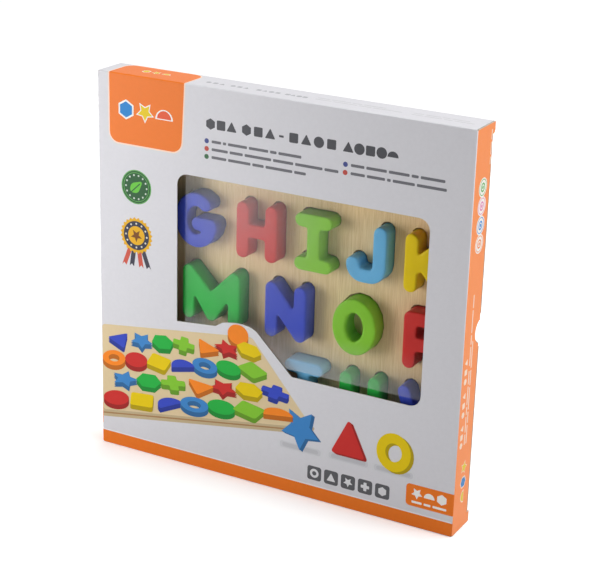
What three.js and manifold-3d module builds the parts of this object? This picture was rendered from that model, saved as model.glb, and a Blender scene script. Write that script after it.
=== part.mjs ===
// Alphabet inset puzzle in its window carton: a shallow tuck-end carton holds a two-layer plywood
// board, and every letter lifts out of a recess of its own shape.
// Millimetres. +X runs to the right along the printed front, +Y into the carton, +Z up.
// The origin is under the middle of the carton, on the surface that it stands on.
import * as THREE from 'three';
import { mergeVertices } from 'three/addons/utils/BufferGeometryUtils.js';
import Module from 'manifold-3d';

// Board and letters
const BOARD_W = 300;
const BOARD_H = 300;
const BOARD_CORNER_R = 6;
const BASE_T = 3;
const INSET_T = 4;
const LETTER_H = 44;
const LETTER_T = 17;
const LETTER_STROKE = 10.6;
const LETTER_EASE = 1;
const TRACK_LEAST_STEP = 0.1;
const LETTER_SEAT_GAP = 0.2;
const RECESS_CLEARANCE = 0.8;
const LETTER_SAG = 0.5;
const SIDE_MARGIN = 14;
const TOP_MARGIN = 18.5;
const BOTTOM_MARGIN = 5.5;
const LAST_ROW_BARE = 50;

// Carton
const SHEET = 0.8;
const FOLD_GAP = 0.1;
const GLUE_LINE = 0.1;
const FILM_T = 0.2;
const FILM_MARGIN = 12;
const LETTER_ROOM = 4.8;
const BOARD_PLAY = 0.3;
const BOARD_SHIFT = 1.5;
const SIDE_ROOM = 5;
const HEAD_ROOM = 6.1;
const GLUE_FLAP_W = 15;

// End closures
const TAB_ROOM = 2;
const TAB_SWING_GAP = 0.3;
const TAB_CORNER_R = 7;
const TAB_END_GAP = 1.5;
const SHOULDER_L = 8.5;
const SHOULDER_PROUD = 0.6;
const CLOSURE_END_GAP = 0.5;
const NOTCH_L = 18;
const NOTCH_DEPTH = 8;
const TAB_NOTCH_DEPTH = 5;
const BACK_NOTCH_L = 26;
const BACK_NOTCH_DEPTH = 10;
const DUST_GAP = 0.3;
const DUST_L = 20;
const DUST_FRONT_GAP = 2;
const DUST_BACK_GAP = 1;
const DUST_TAPER = 12;

// Window, measured from its own left and bottom edges where it steps round the printed picture
const WINDOW_LEFT = -84;
const WINDOW_RIGHT = 124;
const WINDOW_BOTTOM = 96.3;
const WINDOW_TOP = 239;
const WINDOW_R = 9;
const STEP_START_Z = 23.7;
const STEP_LEDGE_X = 35;
const STEP_LEDGE_Z = 27;
const STEP_RISE_X = 41;
const STEP_RISE_Z = 31;
const STEP_PEAK_X = 62;
const STEP_PEAK_Z = 36;
const STEP_FALL_X = 71;
const STEP_FALL_Z = 29.5;
const STEP_FOOT_X = 102;

// Facets round a stroke's end, in a sheet's rounded corner and along a letter's curves
const CAP_STEP_DEG = 30;
const CAP_LEAST_DEG = 6;
const CORNER_STEPS = 3;
const ARC_STEP_DEG = 24;

// Depths behind the carton's front face, stacked from the front to the back
const filmFront = SHEET + GLUE_LINE;
const filmBack = filmFront + FILM_T;
const letterFront = filmBack + LETTER_ROOM;
const letterBack = letterFront + LETTER_T;
const baseFront = letterBack + LETTER_SEAT_GAP;
const baseBack = baseFront + BASE_T;
const insetBack = baseFront - GLUE_LINE;
const tabFront = baseBack + BOARD_PLAY;
const tabBack = tabFront + SHEET;
const backInner = tabBack + TAB_ROOM;
const cartonD = backInner + SHEET;

// The carton's outside and the places of its folds
const cartonW = BOARD_W + 2 * SIDE_ROOM;
const cartonH = BOARD_H + 2 * SHEET + BOARD_PLAY + HEAD_ROOM;
const closureInner = cartonW / 2 - SHEET;
const dustOuter = closureInner - DUST_GAP;
const shoulderBack = cartonD + SHOULDER_PROUD;
const boardBottom = SHEET + BOARD_PLAY;
// The tab's tip just clears the back wall as the closure swings out
const tabReach = Math.sqrt((backInner - TAB_SWING_GAP) ** 2 - tabBack ** 2) - SHEET - FOLD_GAP;

const PAINT = {
  red: 0xc8322d,
  lightGreen: 0x73b92d,
  lightBlue: 0x4191d0,
  yellow: 0xe1c800,
  orange: 0xfa8c28,
  green: 0x2da046,
  blue: 0x323caf,
};
const CARTON_WHITE = 0xdcdce0;
const CARTON_INSIDE = 0xb9b2a6;
const CLOSURE_ORANGE = 0xfc8446;
const FILM_CLEAR = 0xe8edf0;
const PLYWOOD = 0xcdb48c;
const PLYWOOD_BACK = 0xbf9f72;

const wasm = await Module();
wasm.setup();

// A three.js geometry as a solid that can be joined and cut
function toSolid(geometry) {
  const bare = geometry.clone();
  bare.deleteAttribute('normal');
  bare.deleteAttribute('uv');
  const merged = mergeVertices(bare);
  const vertProperties = new Float32Array(merged.attributes.position.array);
  const triVerts = new Uint32Array(merged.index.array);
  return new wasm.Manifold(new wasm.Mesh({ numProp: 3, vertProperties, triVerts }));
}

// A joined or cut solid as a flat-shaded three.js geometry
function toGeometry(solid) {
  const { vertProperties, triVerts } = solid.getMesh();
  const indexed = new THREE.BufferGeometry();
  indexed.setAttribute('position', new THREE.BufferAttribute(vertProperties, 3));
  indexed.setIndex(new THREE.BufferAttribute(triVerts, 1));
  const geometry = indexed.toNonIndexed();
  geometry.computeVertexNormals();
  return geometry;
}

function join(solids) {
  return solids.reduce((whole, solid) => whole.add(solid));
}

function extrude(shape, depth, ease = 0) {
  return new THREE.ExtrudeGeometry(shape, {
    depth: depth - 2 * ease,
    curveSegments: CORNER_STEPS,
    bevelEnabled: ease > 0,
    bevelThickness: ease,
    bevelSize: ease,
    bevelOffset: -ease,
    bevelSegments: 1,
  });
}

// The three ways a sheet lies: each outline is drawn in two axes and thickens along the third.
const X = new THREE.Vector3(1, 0, 0);
const Y = new THREE.Vector3(0, 1, 0);
const Z = new THREE.Vector3(0, 0, 1);
const FACING = new THREE.Matrix4().makeBasis(X, Z, Y.clone().negate());
const LEVEL = new THREE.Matrix4().makeBasis(X, Y, Z);
const ENDWAYS = new THREE.Matrix4().makeBasis(Y, Z, X);

function piece(name, geometry, color, { lie = FACING, at = [0, 0, 0], roughness = 0.5 } = {}) {
  const material = new THREE.MeshStandardMaterial({ color, roughness, metalness: 0 });
  const mesh = new THREE.Mesh(geometry, material);
  mesh.name = name;
  mesh.quaternion.setFromRotationMatrix(lie);
  mesh.position.set(...at);
  return mesh;
}

function rectangle(left, right, bottom, top) {
  const shape = new THREE.Shape();
  shape.moveTo(left, bottom);
  shape.lineTo(right, bottom);
  shape.lineTo(right, top);
  shape.lineTo(left, top);
  shape.closePath();
  return shape;
}

function roundedRectangle(left, right, bottom, top, r) {
  const quarter = Math.PI / 2;
  const shape = new THREE.Shape();
  shape.absarc(right - r, bottom + r, r, -quarter, 0);
  shape.absarc(right - r, top - r, r, 0, quarter);
  shape.absarc(left + r, top - r, r, quarter, 2 * quarter);
  shape.absarc(left + r, bottom + r, r, 2 * quarter, 3 * quarter);
  shape.closePath();
  return shape;
}

// Carton tube: front, top, back and bottom walls, the glued seam and the window film

function windowOutline() {
  const quarter = Math.PI / 2;
  const r = WINDOW_R;
  const stepX = (offset) => WINDOW_LEFT + offset;
  const stepZ = (offset) => WINDOW_BOTTOM + offset;
  const outline = new THREE.Path();
  outline.moveTo(WINDOW_LEFT, stepZ(STEP_START_Z));
  outline.lineTo(stepX(STEP_LEDGE_X), stepZ(STEP_LEDGE_Z));
  outline.lineTo(stepX(STEP_RISE_X), stepZ(STEP_RISE_Z));
  outline.quadraticCurveTo(
    stepX(STEP_PEAK_X), stepZ(STEP_PEAK_Z),
    stepX(STEP_FALL_X), stepZ(STEP_FALL_Z),
  );
  outline.lineTo(stepX(STEP_FOOT_X), WINDOW_BOTTOM);
  outline.absarc(WINDOW_RIGHT - r, WINDOW_BOTTOM + r, r, -quarter, 0);
  outline.absarc(WINDOW_RIGHT - r, WINDOW_TOP - r, r, 0, quarter);
  outline.absarc(WINDOW_LEFT + r, WINDOW_TOP - r, r, quarter, 2 * quarter);
  outline.closePath();
  return outline;
}

function frontPanel() {
  const half = cartonW / 2 - FOLD_GAP;
  const shape = rectangle(-half, half, 0, cartonH);
  shape.holes.push(windowOutline());
  return piece('front_panel', extrude(shape, SHEET), CARTON_WHITE, { at: [0, SHEET, 0] });
}

// The back wall has a thumb notch at each end, over the one in the closure's fold
function backPanel() {
  const half = closureInner - FOLD_GAP;
  const middle = cartonH / 2;
  const r = biteRadius(BACK_NOTCH_L, BACK_NOTCH_DEPTH);
  const biteCentre = half - BACK_NOTCH_DEPTH + r;
  const sweep = Math.asin(BACK_NOTCH_L / 2 / r);
  const shape = new THREE.Shape();
  shape.moveTo(-half, 0);
  shape.lineTo(half, 0);
  shape.absarc(biteCentre, middle, r, Math.PI + sweep, Math.PI - sweep, true);
  shape.lineTo(half, cartonH);
  shape.lineTo(-half, cartonH);
  shape.absarc(-biteCentre, middle, r, sweep, -sweep, true);
  shape.closePath();
  return piece('back_panel', extrude(shape, SHEET), CARTON_WHITE, { at: [0, cartonD, 0] });
}

function levelPanel(name, z) {
  const half = dustOuter - FOLD_GAP;
  const shape = rectangle(-half, half, SHEET + FOLD_GAP, backInner - FOLD_GAP);
  return piece(name, extrude(shape, SHEET), CARTON_WHITE, { lie: LEVEL, at: [0, 0, z] });
}

// The seam strip folds in from the back wall and is glued under the top wall, its ends cut on the slant
function glueFlap() {
  const half = dustOuter - GLUE_FLAP_W;
  const back = backInner - FOLD_GAP;
  const shape = new THREE.Shape();
  shape.moveTo(-half, back);
  shape.lineTo(GLUE_FLAP_W - half, back - GLUE_FLAP_W);
  shape.lineTo(half - GLUE_FLAP_W, back - GLUE_FLAP_W);
  shape.lineTo(half, back);
  shape.closePath();
  const z = cartonH - 2 * SHEET - GLUE_LINE;
  return piece('glue_flap', extrude(shape, SHEET), CARTON_INSIDE, { lie: LEVEL, at: [0, 0, z] });
}

function windowFilm() {
  const m = FILM_MARGIN;
  const shape = rectangle(WINDOW_LEFT - m, WINDOW_RIGHT + m, WINDOW_BOTTOM - m, WINDOW_TOP + m);
  const geometry = extrude(shape, FILM_T);
  return piece('window_film', geometry, FILM_CLEAR, { at: [0, filmBack, 0], roughness: 0.1 });
}

// End closures: an end panel hinged on the front wall, its tuck tab, and two dust flaps behind it

// A half-moon bite with its straight side between two ends, as its circle's radius
function biteRadius(length, depth) {
  return ((length / 2) ** 2 + depth ** 2) / (2 * depth);
}

function closurePanel(side, name) {
  const front = SHEET + FOLD_GAP;
  const low = CLOSURE_END_GAP;
  const high = cartonH - CLOSURE_END_GAP;
  const middle = cartonH / 2;
  const r = biteRadius(NOTCH_L, NOTCH_DEPTH);
  const biteCentre = tabBack - NOTCH_DEPTH + r;
  const sweep = Math.asin(NOTCH_L / 2 / r);
  const shape = new THREE.Shape();
  shape.moveTo(front, low);
  shape.lineTo(shoulderBack, low);
  shape.lineTo(shoulderBack, low + SHOULDER_L);
  shape.lineTo(tabBack, low + SHOULDER_L);
  shape.absarc(biteCentre, middle, r, Math.PI + sweep, Math.PI - sweep, true);
  shape.lineTo(tabBack, high - SHOULDER_L);
  shape.lineTo(shoulderBack, high - SHOULDER_L);
  shape.lineTo(shoulderBack, high);
  shape.lineTo(front, high);
  shape.closePath();
  const x = side > 0 ? closureInner : -cartonW / 2;
  return piece(name, extrude(shape, SHEET), CLOSURE_ORANGE, { lie: ENDWAYS, at: [x, 0, 0] });
}

function tuckTab(side, name) {
  const fold = closureInner - FOLD_GAP;
  const tip = fold - tabReach;
  const low = CLOSURE_END_GAP + SHOULDER_L + TAB_END_GAP;
  const high = cartonH - low;
  const middle = cartonH / 2;
  const r = biteRadius(NOTCH_L, TAB_NOTCH_DEPTH);
  const biteCentre = fold - TAB_NOTCH_DEPTH + r;
  const sweep = Math.asin(NOTCH_L / 2 / r);
  const quarter = Math.PI / 2;
  const outline = new THREE.Path();
  outline.moveTo(fold, low);
  outline.absarc(biteCentre, middle, r, Math.PI + sweep, Math.PI - sweep, true);
  outline.lineTo(fold, high);
  outline.absarc(tip + TAB_CORNER_R, high - TAB_CORNER_R, TAB_CORNER_R, quarter, 2 * quarter);
  outline.absarc(tip + TAB_CORNER_R, low + TAB_CORNER_R, TAB_CORNER_R, 2 * quarter, 3 * quarter);
  const points = outline.getPoints(CORNER_STEPS).map((p) => new THREE.Vector2(side * p.x, p.y));
  const geometry = extrude(new THREE.Shape(points), SHEET);
  return piece(name, geometry, CARTON_INSIDE, { at: [0, tabBack, 0] });
}

function dustFlap(side, up, name) {
  const crease = SHEET + FOLD_GAP;
  const front = crease + DUST_FRONT_GAP;
  const back = tabFront - DUST_BACK_GAP;
  const place = (height) => (up ? cartonH - height : height);
  const shape = new THREE.Shape();
  shape.moveTo(front, place(crease));
  shape.lineTo(back, place(crease));
  shape.lineTo(back, place(DUST_L));
  shape.lineTo(front + DUST_TAPER, place(DUST_L));
  shape.closePath();
  const x = side > 0 ? dustOuter - SHEET : -dustOuter;
  return piece(name, extrude(shape, SHEET), CARTON_INSIDE, { lie: ENDWAYS, at: [x, 0, 0] });
}

// Letters: rounded strokes on a centreline box, given in shares of that box's width and height

const line = (u0, v0, u1, v1) => ({ from: [u0, v0], to: [u1, v1] });
const arc = (u, v, ru, rv, start, end) => ({ centre: [u, v], radii: [ru, rv], start, end });
const stroke = (...runs) => runs;

// A bowl that leaves a stem at one height, turns round and comes back at another
function bowl(top, bottom, straight) {
  const middle = (top + bottom) / 2;
  const rise = (top - bottom) / 2;
  return stroke(
    line(0, top, straight, top),
    arc(straight, middle, 1 - straight, rise, 90, -90),
    line(straight, bottom, 0, bottom),
  );
}

const STEM = stroke(line(0, 0, 0, 1));
const MIDDLE_STEM = stroke(line(0.5, 0, 0.5, 1));
const FAR_STEM = stroke(line(1, 0, 1, 1));
const TOP_BAR = stroke(line(0, 1, 1, 1));
const FOOT_BAR = stroke(line(0, 0, 1, 0));
const LOOP = stroke(arc(0.5, 0.5, 0.5, 0.5, 0, 360));

const B_UPPER_BOWL = bowl(1, 0.52, 0.5);
const B_LOWER_BOWL = bowl(0.52, 0, 0.45);
const D_BOWL = bowl(1, 0, 0.3);
const P_BOWL = bowl(1, 0.42, 0.4);
const R_BOWL = bowl(1, 0.44, 0.4);

// Each letter's width, paint and strokes, and the runs that close round a counter.
// A shift moves a letter off its even place in the row.
const LETTERS = {
  A: {
    width: 38,
    paint: PAINT.red,
    strokes: [
      stroke(line(0, 0, 0.5, 1)),
      stroke(line(0.5, 1, 1, 0)),
      stroke(line(0.2, 0.22, 0.8, 0.22)),
    ],
    counters: [stroke(line(0.2, 0.22, 0.5, 1), line(0.5, 1, 0.8, 0.22))],
  },
  B: {
    width: 33,
    paint: PAINT.lightGreen,
    strokes: [STEM, B_UPPER_BOWL, B_LOWER_BOWL],
    counters: [B_UPPER_BOWL, B_LOWER_BOWL],
  },
  C: { width: 35, paint: PAINT.lightBlue, strokes: [stroke(arc(0.5, 0.5, 0.5, 0.5, 48, 312))] },
  D: { width: 34, paint: PAINT.yellow, strokes: [STEM, D_BOWL], counters: [D_BOWL] },
  E: {
    width: 30,
    paint: PAINT.orange,
    strokes: [STEM, TOP_BAR, stroke(line(0, 0.5, 0.85, 0.5)), FOOT_BAR],
  },
  F: { width: 30, paint: PAINT.green, strokes: [STEM, TOP_BAR, stroke(line(0, 0.5, 0.8, 0.5))] },
  G: {
    width: 38,
    paint: PAINT.blue,
    strokes: [stroke(arc(0.5, 0.5, 0.5, 0.5, 54, 350)), stroke(line(0.55, 0.42, 0.98, 0.42))],
  },
  H: { width: 35, paint: PAINT.red, shift: 2.3, strokes: [STEM, FAR_STEM, stroke(line(0, 0.5, 1, 0.5))] },
  I: { width: 31, paint: PAINT.lightGreen, shift: 2.6, strokes: [TOP_BAR, FOOT_BAR, MIDDLE_STEM] },
  J: {
    width: 32,
    paint: PAINT.lightBlue,
    strokes: [
      stroke(
        line(1, 1, 1, 0.24),
        arc(0.64, 0.24, 0.36, 0.24, 0, -90),
        line(0.64, 0, 0.36, 0),
        arc(0.36, 0.24, 0.36, 0.24, -90, -180),
      ),
    ],
  },
  K: {
    width: 35,
    paint: PAINT.yellow,
    strokes: [STEM, stroke(line(0, 0.35, 1, 1)), stroke(line(0.35, 0.58, 1, 0))],
  },
  L: { width: 30, paint: PAINT.orange, strokes: [STEM, FOOT_BAR] },
  M: {
    width: 51,
    paint: PAINT.green,
    strokes: [
      STEM,
      FAR_STEM,
      stroke(line(0, 1, 0.5, 0.39)),
      stroke(line(0, 1, 0.5, 0.04)),
      stroke(line(0.5, 0.39, 1, 1)),
      stroke(line(0.5, 0.04, 1, 1)),
    ],
  },
  N: {
    width: 35,
    paint: PAINT.blue,
    strokes: [STEM, FAR_STEM, stroke(line(0, 1, 1, 0.14)), stroke(line(0, 0.86, 1, 0))],
  },
  O: { width: 36, paint: PAINT.lightGreen, strokes: [LOOP], counters: [LOOP] },
  P: { width: 33, paint: PAINT.red, strokes: [STEM, P_BOWL], counters: [P_BOWL] },
  Q: {
    width: 37,
    paint: PAINT.lightBlue,
    strokes: [LOOP, stroke(line(0.62, 0.26, 1, 0))],
    counters: [LOOP],
  },
  R: {
    width: 33,
    paint: PAINT.yellow,
    strokes: [STEM, R_BOWL, stroke(line(0.4, 0.44, 1, 0))],
    counters: [R_BOWL],
  },
  S: {
    width: 31,
    paint: PAINT.orange,
    strokes: [stroke(arc(0.5, 0.75, 0.5, 0.25, 20, 270), arc(0.5, 0.25, 0.5, 0.25, 90, -160))],
  },
  T: { width: 33, paint: PAINT.lightBlue, strokes: [TOP_BAR, MIDDLE_STEM] },
  U: {
    width: 34,
    paint: PAINT.green,
    strokes: [stroke(line(0, 1, 0, 0.38), arc(0.5, 0.38, 0.5, 0.38, 180, 360), line(1, 0.38, 1, 1))],
  },
  V: { width: 35, paint: PAINT.blue, strokes: [stroke(line(0, 1, 0.5, 0)), stroke(line(0.5, 0, 1, 1))] },
  W: {
    width: 51,
    paint: PAINT.red,
    strokes: [
      stroke(line(0, 1, 0.25, 0)),
      stroke(line(0.25, 0, 0.5, 0.8)),
      stroke(line(0.5, 0.8, 0.75, 0)),
      stroke(line(0.75, 0, 1, 1)),
    ],
  },
  X: { width: 35, paint: PAINT.lightGreen, strokes: [stroke(line(0, 0, 1, 1)), stroke(line(0, 1, 1, 0))] },
  Y: {
    width: 35,
    paint: PAINT.yellow,
    strokes: [
      stroke(line(0, 1, 0.5, 0.45)),
      stroke(line(0.5, 0.45, 1, 1)),
      stroke(line(0.5, 0, 0.5, 0.45)),
    ],
  },
  Z: { width: 33, paint: PAINT.orange, strokes: [TOP_BAR, stroke(line(0, 0, 1, 1)), FOOT_BAR] },
};
const ROWS = ['ABCDE', 'FGHIJK', 'LMNOP', 'QRSTUV', 'WXYZ'];

// Points along a stroke's centreline, each with the normal on its left
function centreline(runs, width) {
  const boxW = width - LETTER_STROKE;
  const boxH = LETTER_H - LETTER_STROKE;
  const place = (u, v) => new THREE.Vector2((u - 0.5) * boxW, (v - 0.5) * boxH);
  const track = [];
  const add = (point, tangent) => {
    const last = track.at(-1);
    if (last && last.point.distanceTo(point) < TRACK_LEAST_STEP) return;
    track.push({ point, normal: new THREE.Vector2(-tangent.y, tangent.x).normalize() });
  };
  for (const run of runs) {
    if (run.centre) {
      const centre = place(...run.centre);
      const rx = run.radii[0] * boxW;
      const ry = run.radii[1] * boxH;
      const turn = run.end - run.start;
      const steps = Math.ceil(Math.abs(turn) / ARC_STEP_DEG);
      for (let i = 0; i <= steps; i += 1) {
        const angle = THREE.MathUtils.degToRad(run.start + (turn * i) / steps);
        const reach = new THREE.Vector2(rx * Math.cos(angle), ry * Math.sin(angle));
        const tangent = new THREE.Vector2(-rx * Math.sin(angle), ry * Math.cos(angle));
        add(centre.clone().add(reach), tangent.multiplyScalar(Math.sign(turn)));
      }
    } else {
      const from = place(...run.from);
      const to = place(...run.to);
      const tangent = to.clone().sub(from);
      add(from, tangent);
      add(to, tangent);
    }
  }
  return track;
}

// A stroke's outline at a half width: a closed loop becomes a ring, and other strokes get round ends
function strokeShape(runs, width, half) {
  const track = centreline(runs, width);
  const aside = ({ point, normal }, distance) => point.clone().addScaledVector(normal, distance);
  const offset = (distance) => track.map((place) => aside(place, distance));
  const left = offset(half);
  const right = offset(-half);
  if (runs === LOOP) {
    const ring = new THREE.Shape(right.slice(0, -1));
    ring.holes.push(new THREE.Path(left.slice(0, -1)));
    return ring;
  }
  // Every round end turns through the same compass directions, so ends that share a centre coincide
  const roundEnd = ({ point, normal }, spread) => {
    const start = THREE.MathUtils.radToDeg(normal.clone().multiplyScalar(spread).angle());
    const stop = start - 180;
    const points = [];
    const first = Math.floor((start - CAP_LEAST_DEG) / CAP_STEP_DEG) * CAP_STEP_DEG;
    for (let angle = first; angle > stop + CAP_LEAST_DEG; angle -= CAP_STEP_DEG) {
      const turn = THREE.MathUtils.degToRad(angle);
      points.push(new THREE.Vector2(half * Math.cos(turn), half * Math.sin(turn)).add(point));
    }
    return points;
  };
  return new THREE.Shape([
    ...left,
    ...roundEnd(track.at(-1), half),
    ...right.reverse(),
    ...roundEnd(track[0], -half),
  ]);
}

function letterSolid({ width, strokes }, spread, depth, ease) {
  const half = LETTER_STROKE / 2 + spread;
  return join(strokes.map((runs) => toSolid(extrude(strokeShape(runs, width, half), depth, ease))));
}

// A recess is the letter grown by its clearance, with no island of wood left in a counter
function recessSolid(letterDesign, depth) {
  const { width, counters = [] } = letterDesign;
  const fills = counters.map((runs) => {
    const outline = centreline(runs, width).map(({ point }) => point);
    return toSolid(extrude(new THREE.Shape(outline), depth));
  });
  return join([letterSolid(letterDesign, RECESS_CLEARANCE, depth, 0), ...fills]);
}

// Where each letter's recess is centred, from the board's middle and its bottom edge
function letterPlaces() {
  const pitch = (BOARD_H - TOP_MARGIN - BOTTOM_MARGIN - LETTER_H) / (ROWS.length - 1);
  return ROWS.flatMap((row, index) => {
    const letters = [...row];
    const last = index === ROWS.length - 1;
    const free = BOARD_W - 2 * SIDE_MARGIN - (last ? LAST_ROW_BARE : 0);
    const used = letters.reduce((sum, key) => sum + LETTERS[key].width, 0);
    const gap = (free - used) / (letters.length - 1);
    const z = BOTTOM_MARGIN + LETTER_H / 2 + (ROWS.length - 1 - index) * pitch;
    let edge = SIDE_MARGIN - BOARD_W / 2;
    return letters.map((key) => {
      const { width, shift = 0 } = LETTERS[key];
      const x = edge + width / 2 + shift;
      edge += width + gap;
      return { key, x, z };
    });
  });
}

// Board: a plain base sheet, and an inset sheet with the letters cut right through it

function boardSheet() {
  return roundedRectangle(-BOARD_W / 2, BOARD_W / 2, 0, BOARD_H, BOARD_CORNER_R);
}

function basePlate() {
  return piece('base_plate', extrude(boardSheet(), BASE_T), PLYWOOD_BACK, { at: [0, baseBack, 0] });
}

function insetPlate(places) {
  const cutters = places.map(({ key, x, z }) =>
    recessSolid(LETTERS[key], 3 * INSET_T).translate([x, z, -INSET_T]));
  const sheet = toSolid(extrude(boardSheet(), INSET_T)).subtract(join(cutters));
  return piece('inset_plate', toGeometry(sheet), PLYWOOD, { at: [0, insetBack, 0] });
}

function letter({ key, x, z }) {
  const solid = letterSolid(LETTERS[key], 0, LETTER_T, LETTER_EASE).translate([0, 0, LETTER_EASE]);
  const name = `letter_${key.toLowerCase()}`;
  const at = [x, letterBack, z - LETTER_SAG];
  return piece(name, toGeometry(solid), LETTERS[key].paint, { at, roughness: 0.4 });
}

function puzzle() {
  const places = letterPlaces();
  const group = new THREE.Group();
  group.add(basePlate(), insetPlate(places), ...places.map(letter));
  group.position.set(BOARD_SHIFT, 0, boardBottom);
  return group;
}

function carton() {
  const group = new THREE.Group();
  group.add(
    frontPanel(),
    levelPanel('top_panel', cartonH - SHEET),
    backPanel(),
    levelPanel('bottom_panel', 0),
    glueFlap(),
    windowFilm(),
  );
  return group;
}

function closure(side, word) {
  const group = new THREE.Group();
  group.add(
    closurePanel(side, `${word}_closure_panel`),
    tuckTab(side, `${word}_tuck_tab`),
    dustFlap(side, true, `${word}_top_dust_flap`),
    dustFlap(side, false, `${word}_bottom_dust_flap`),
  );
  return group;
}

const boxedPuzzle = new THREE.Group();
boxedPuzzle.add(carton(), closure(1, 'right'), closure(-1, 'left'), puzzle());
boxedPuzzle.position.y = -shoulderBack / 2;

export default boxedPuzzle;
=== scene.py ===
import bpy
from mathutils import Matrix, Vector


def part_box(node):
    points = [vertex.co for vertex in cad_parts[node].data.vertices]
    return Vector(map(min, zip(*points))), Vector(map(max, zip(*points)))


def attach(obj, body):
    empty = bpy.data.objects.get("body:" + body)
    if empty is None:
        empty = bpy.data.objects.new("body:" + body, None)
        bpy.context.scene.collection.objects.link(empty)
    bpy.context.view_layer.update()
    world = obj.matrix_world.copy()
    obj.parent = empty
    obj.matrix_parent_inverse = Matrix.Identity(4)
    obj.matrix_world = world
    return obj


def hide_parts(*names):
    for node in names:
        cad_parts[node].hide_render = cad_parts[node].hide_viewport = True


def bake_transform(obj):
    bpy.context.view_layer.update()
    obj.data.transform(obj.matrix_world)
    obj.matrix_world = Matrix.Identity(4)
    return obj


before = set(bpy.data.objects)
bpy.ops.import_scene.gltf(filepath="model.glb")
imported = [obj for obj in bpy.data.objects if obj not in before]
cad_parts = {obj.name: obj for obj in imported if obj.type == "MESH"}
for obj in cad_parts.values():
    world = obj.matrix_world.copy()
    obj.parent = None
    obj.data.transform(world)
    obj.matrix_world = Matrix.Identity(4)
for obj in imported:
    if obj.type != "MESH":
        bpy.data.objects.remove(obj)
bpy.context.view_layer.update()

import math

import bmesh
import bpy
from bpy.props import FloatProperty, FloatVectorProperty, IntProperty, PointerProperty
from bpy.types import Operator, Panel, PropertyGroup
from mathutils import Matrix, Quaternion, Vector

bl_info = {
    "name": "Boxed alphabet puzzle",
    "version": (1, 0, 0),
    "blender": (4, 5, 0),
    "location": "View3D > Sidebar > Puzzle",
    "description": "Dresses a boxed alphabet puzzle: printed carton, film, plywood and painted letters",
    "category": "Object",
}

MM = 0.001

# Places of the carton's walls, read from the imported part, in metres
FRONT_LOW, FRONT_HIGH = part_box("front_panel")
CLOSURE_LOW, CLOSURE_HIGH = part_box("right_closure_panel")
FRONT_Y = FRONT_LOW.y
BACK_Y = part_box("back_panel")[1].y
CARTON_TOP = FRONT_HIGH.z
SIDE_X = CLOSURE_HIGH.x
TAB_TIP_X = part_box("right_tuck_tab")[0].x
ENDS = (("right", 1), ("left", -1))


# Settings that a user would change


def ink(red, green, blue):
    """A display colour from 0 to 255 as the linear colour that Blender's sockets take."""
    shares = [value / 255 for value in (red, green, blue)]
    return tuple(s / 12.92 if s <= 0.04045 else ((s + 0.055) / 1.055) ** 2.4 for s in shares)


def length(name, description, default):
    return FloatProperty(name=name, description=description, default=default, unit="LENGTH", precision=5)


def angle(name, description, degrees):
    return FloatProperty(name=name, description=description, subtype="ANGLE", default=math.radians(degrees))


def level(name, description, default):
    return FloatProperty(name=name, description=description, default=default)


def colour(name, description, default):
    return FloatVectorProperty(
        name=name, description=description, default=default, subtype="COLOR", size=3, min=0, max=1
    )


class CartonSettings(PropertyGroup):
    fold_radius: length("Fold radius", "Outside radius of every fold", 0.9 * MM)
    sheet: length("Sheet", "Thickness of the carton board", 0.7 * MM)
    ink_lift: length("Ink lift", "Height of one printed layer", 0.03 * MM)
    window_left: length("Window left", "Left edge of the window, from the middle", -84 * MM)
    window_right: length("Window right", "Right edge of the window, from the middle", 124 * MM)
    window_bottom: length("Window bottom", "Lower edge of the window", 96.3 * MM)
    window_top: length("Window top", "Upper edge of the window", 239 * MM)
    window_radius: length("Window radius", "Corner radius of the window", 9 * MM)
    notch_length: length("Notch length", "Length of the thumb notch", 18 * MM)
    notch_depth: length("Notch depth", "Depth of the thumb notch in the end panel", 8 * MM)
    tab_notch_depth: length("Tab notch depth", "Depth of the thumb notch in the tuck tab", 5 * MM)
    back_notch_length: length("Back notch length", "Length of the thumb notch in the back panel", 26 * MM)
    back_notch_depth: length("Back notch depth", "Depth of the thumb notch in the back panel", 10 * MM)
    shoulder: length("Shoulder", "Length of the slit-lock shoulder at each end", 8.5 * MM)
    crease_depth: length("Crease depth", "How far behind the front face the tuck tab folds", 27.2 * MM)
    tab_corner: length("Tab corner", "Corner radius of the tuck tab", 7 * MM)
    white: colour("White ink", "The carton's plain printed white", ink(221, 220, 225))
    orange: colour("Orange ink", "Label and foot band on the front", ink(242, 123, 34))
    # End orange: the end panels' orange print, made paler than the front's orange as painted glare on the end
    # panels
    end_orange_with_glare: colour("End orange", "Print of the end panels", ink(255, 146, 74))
    picture_blue: colour("Picture blue", "Light blue of the printed picture", ink(62, 134, 200))
    raw: colour("Raw board", "Inside of the carton", ink(205, 200, 190))


class LetterSettings(PropertyGroup):
    stroke: length("Stroke", "Width of every letter's stroke", 10.6 * MM)
    voxel: length("Voxel", "Grain of the joined letter mesh", 0.7 * MM)
    smoothing: IntProperty(name="Smoothing", description="Rounds of edge rounding", default=8, min=0)
    red: colour("Red", "Red paint", ink(205, 46, 42))
    light_green: colour("Light green", "Light green paint", ink(132, 198, 50))
    light_blue: colour("Light blue", "Light blue paint", ink(107, 180, 223))
    yellow: colour("Yellow", "Yellow paint", ink(234, 203, 2))
    orange: colour("Orange", "Orange paint", ink(250, 138, 36))
    green: colour("Green", "Green paint", ink(34, 176, 66))
    blue: colour("Blue", "Blue paint", ink(54, 74, 192))


class WoodSettings(PropertyGroup):
    pale: colour("Pale wood", "Light bands of the plywood", ink(243, 219, 174))
    dark: colour("Dark wood", "Dark bands of the plywood", ink(229, 198, 148))
    glue: colour("Ply line", "Darker layers on a cut edge", ink(168, 128, 84))


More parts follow.
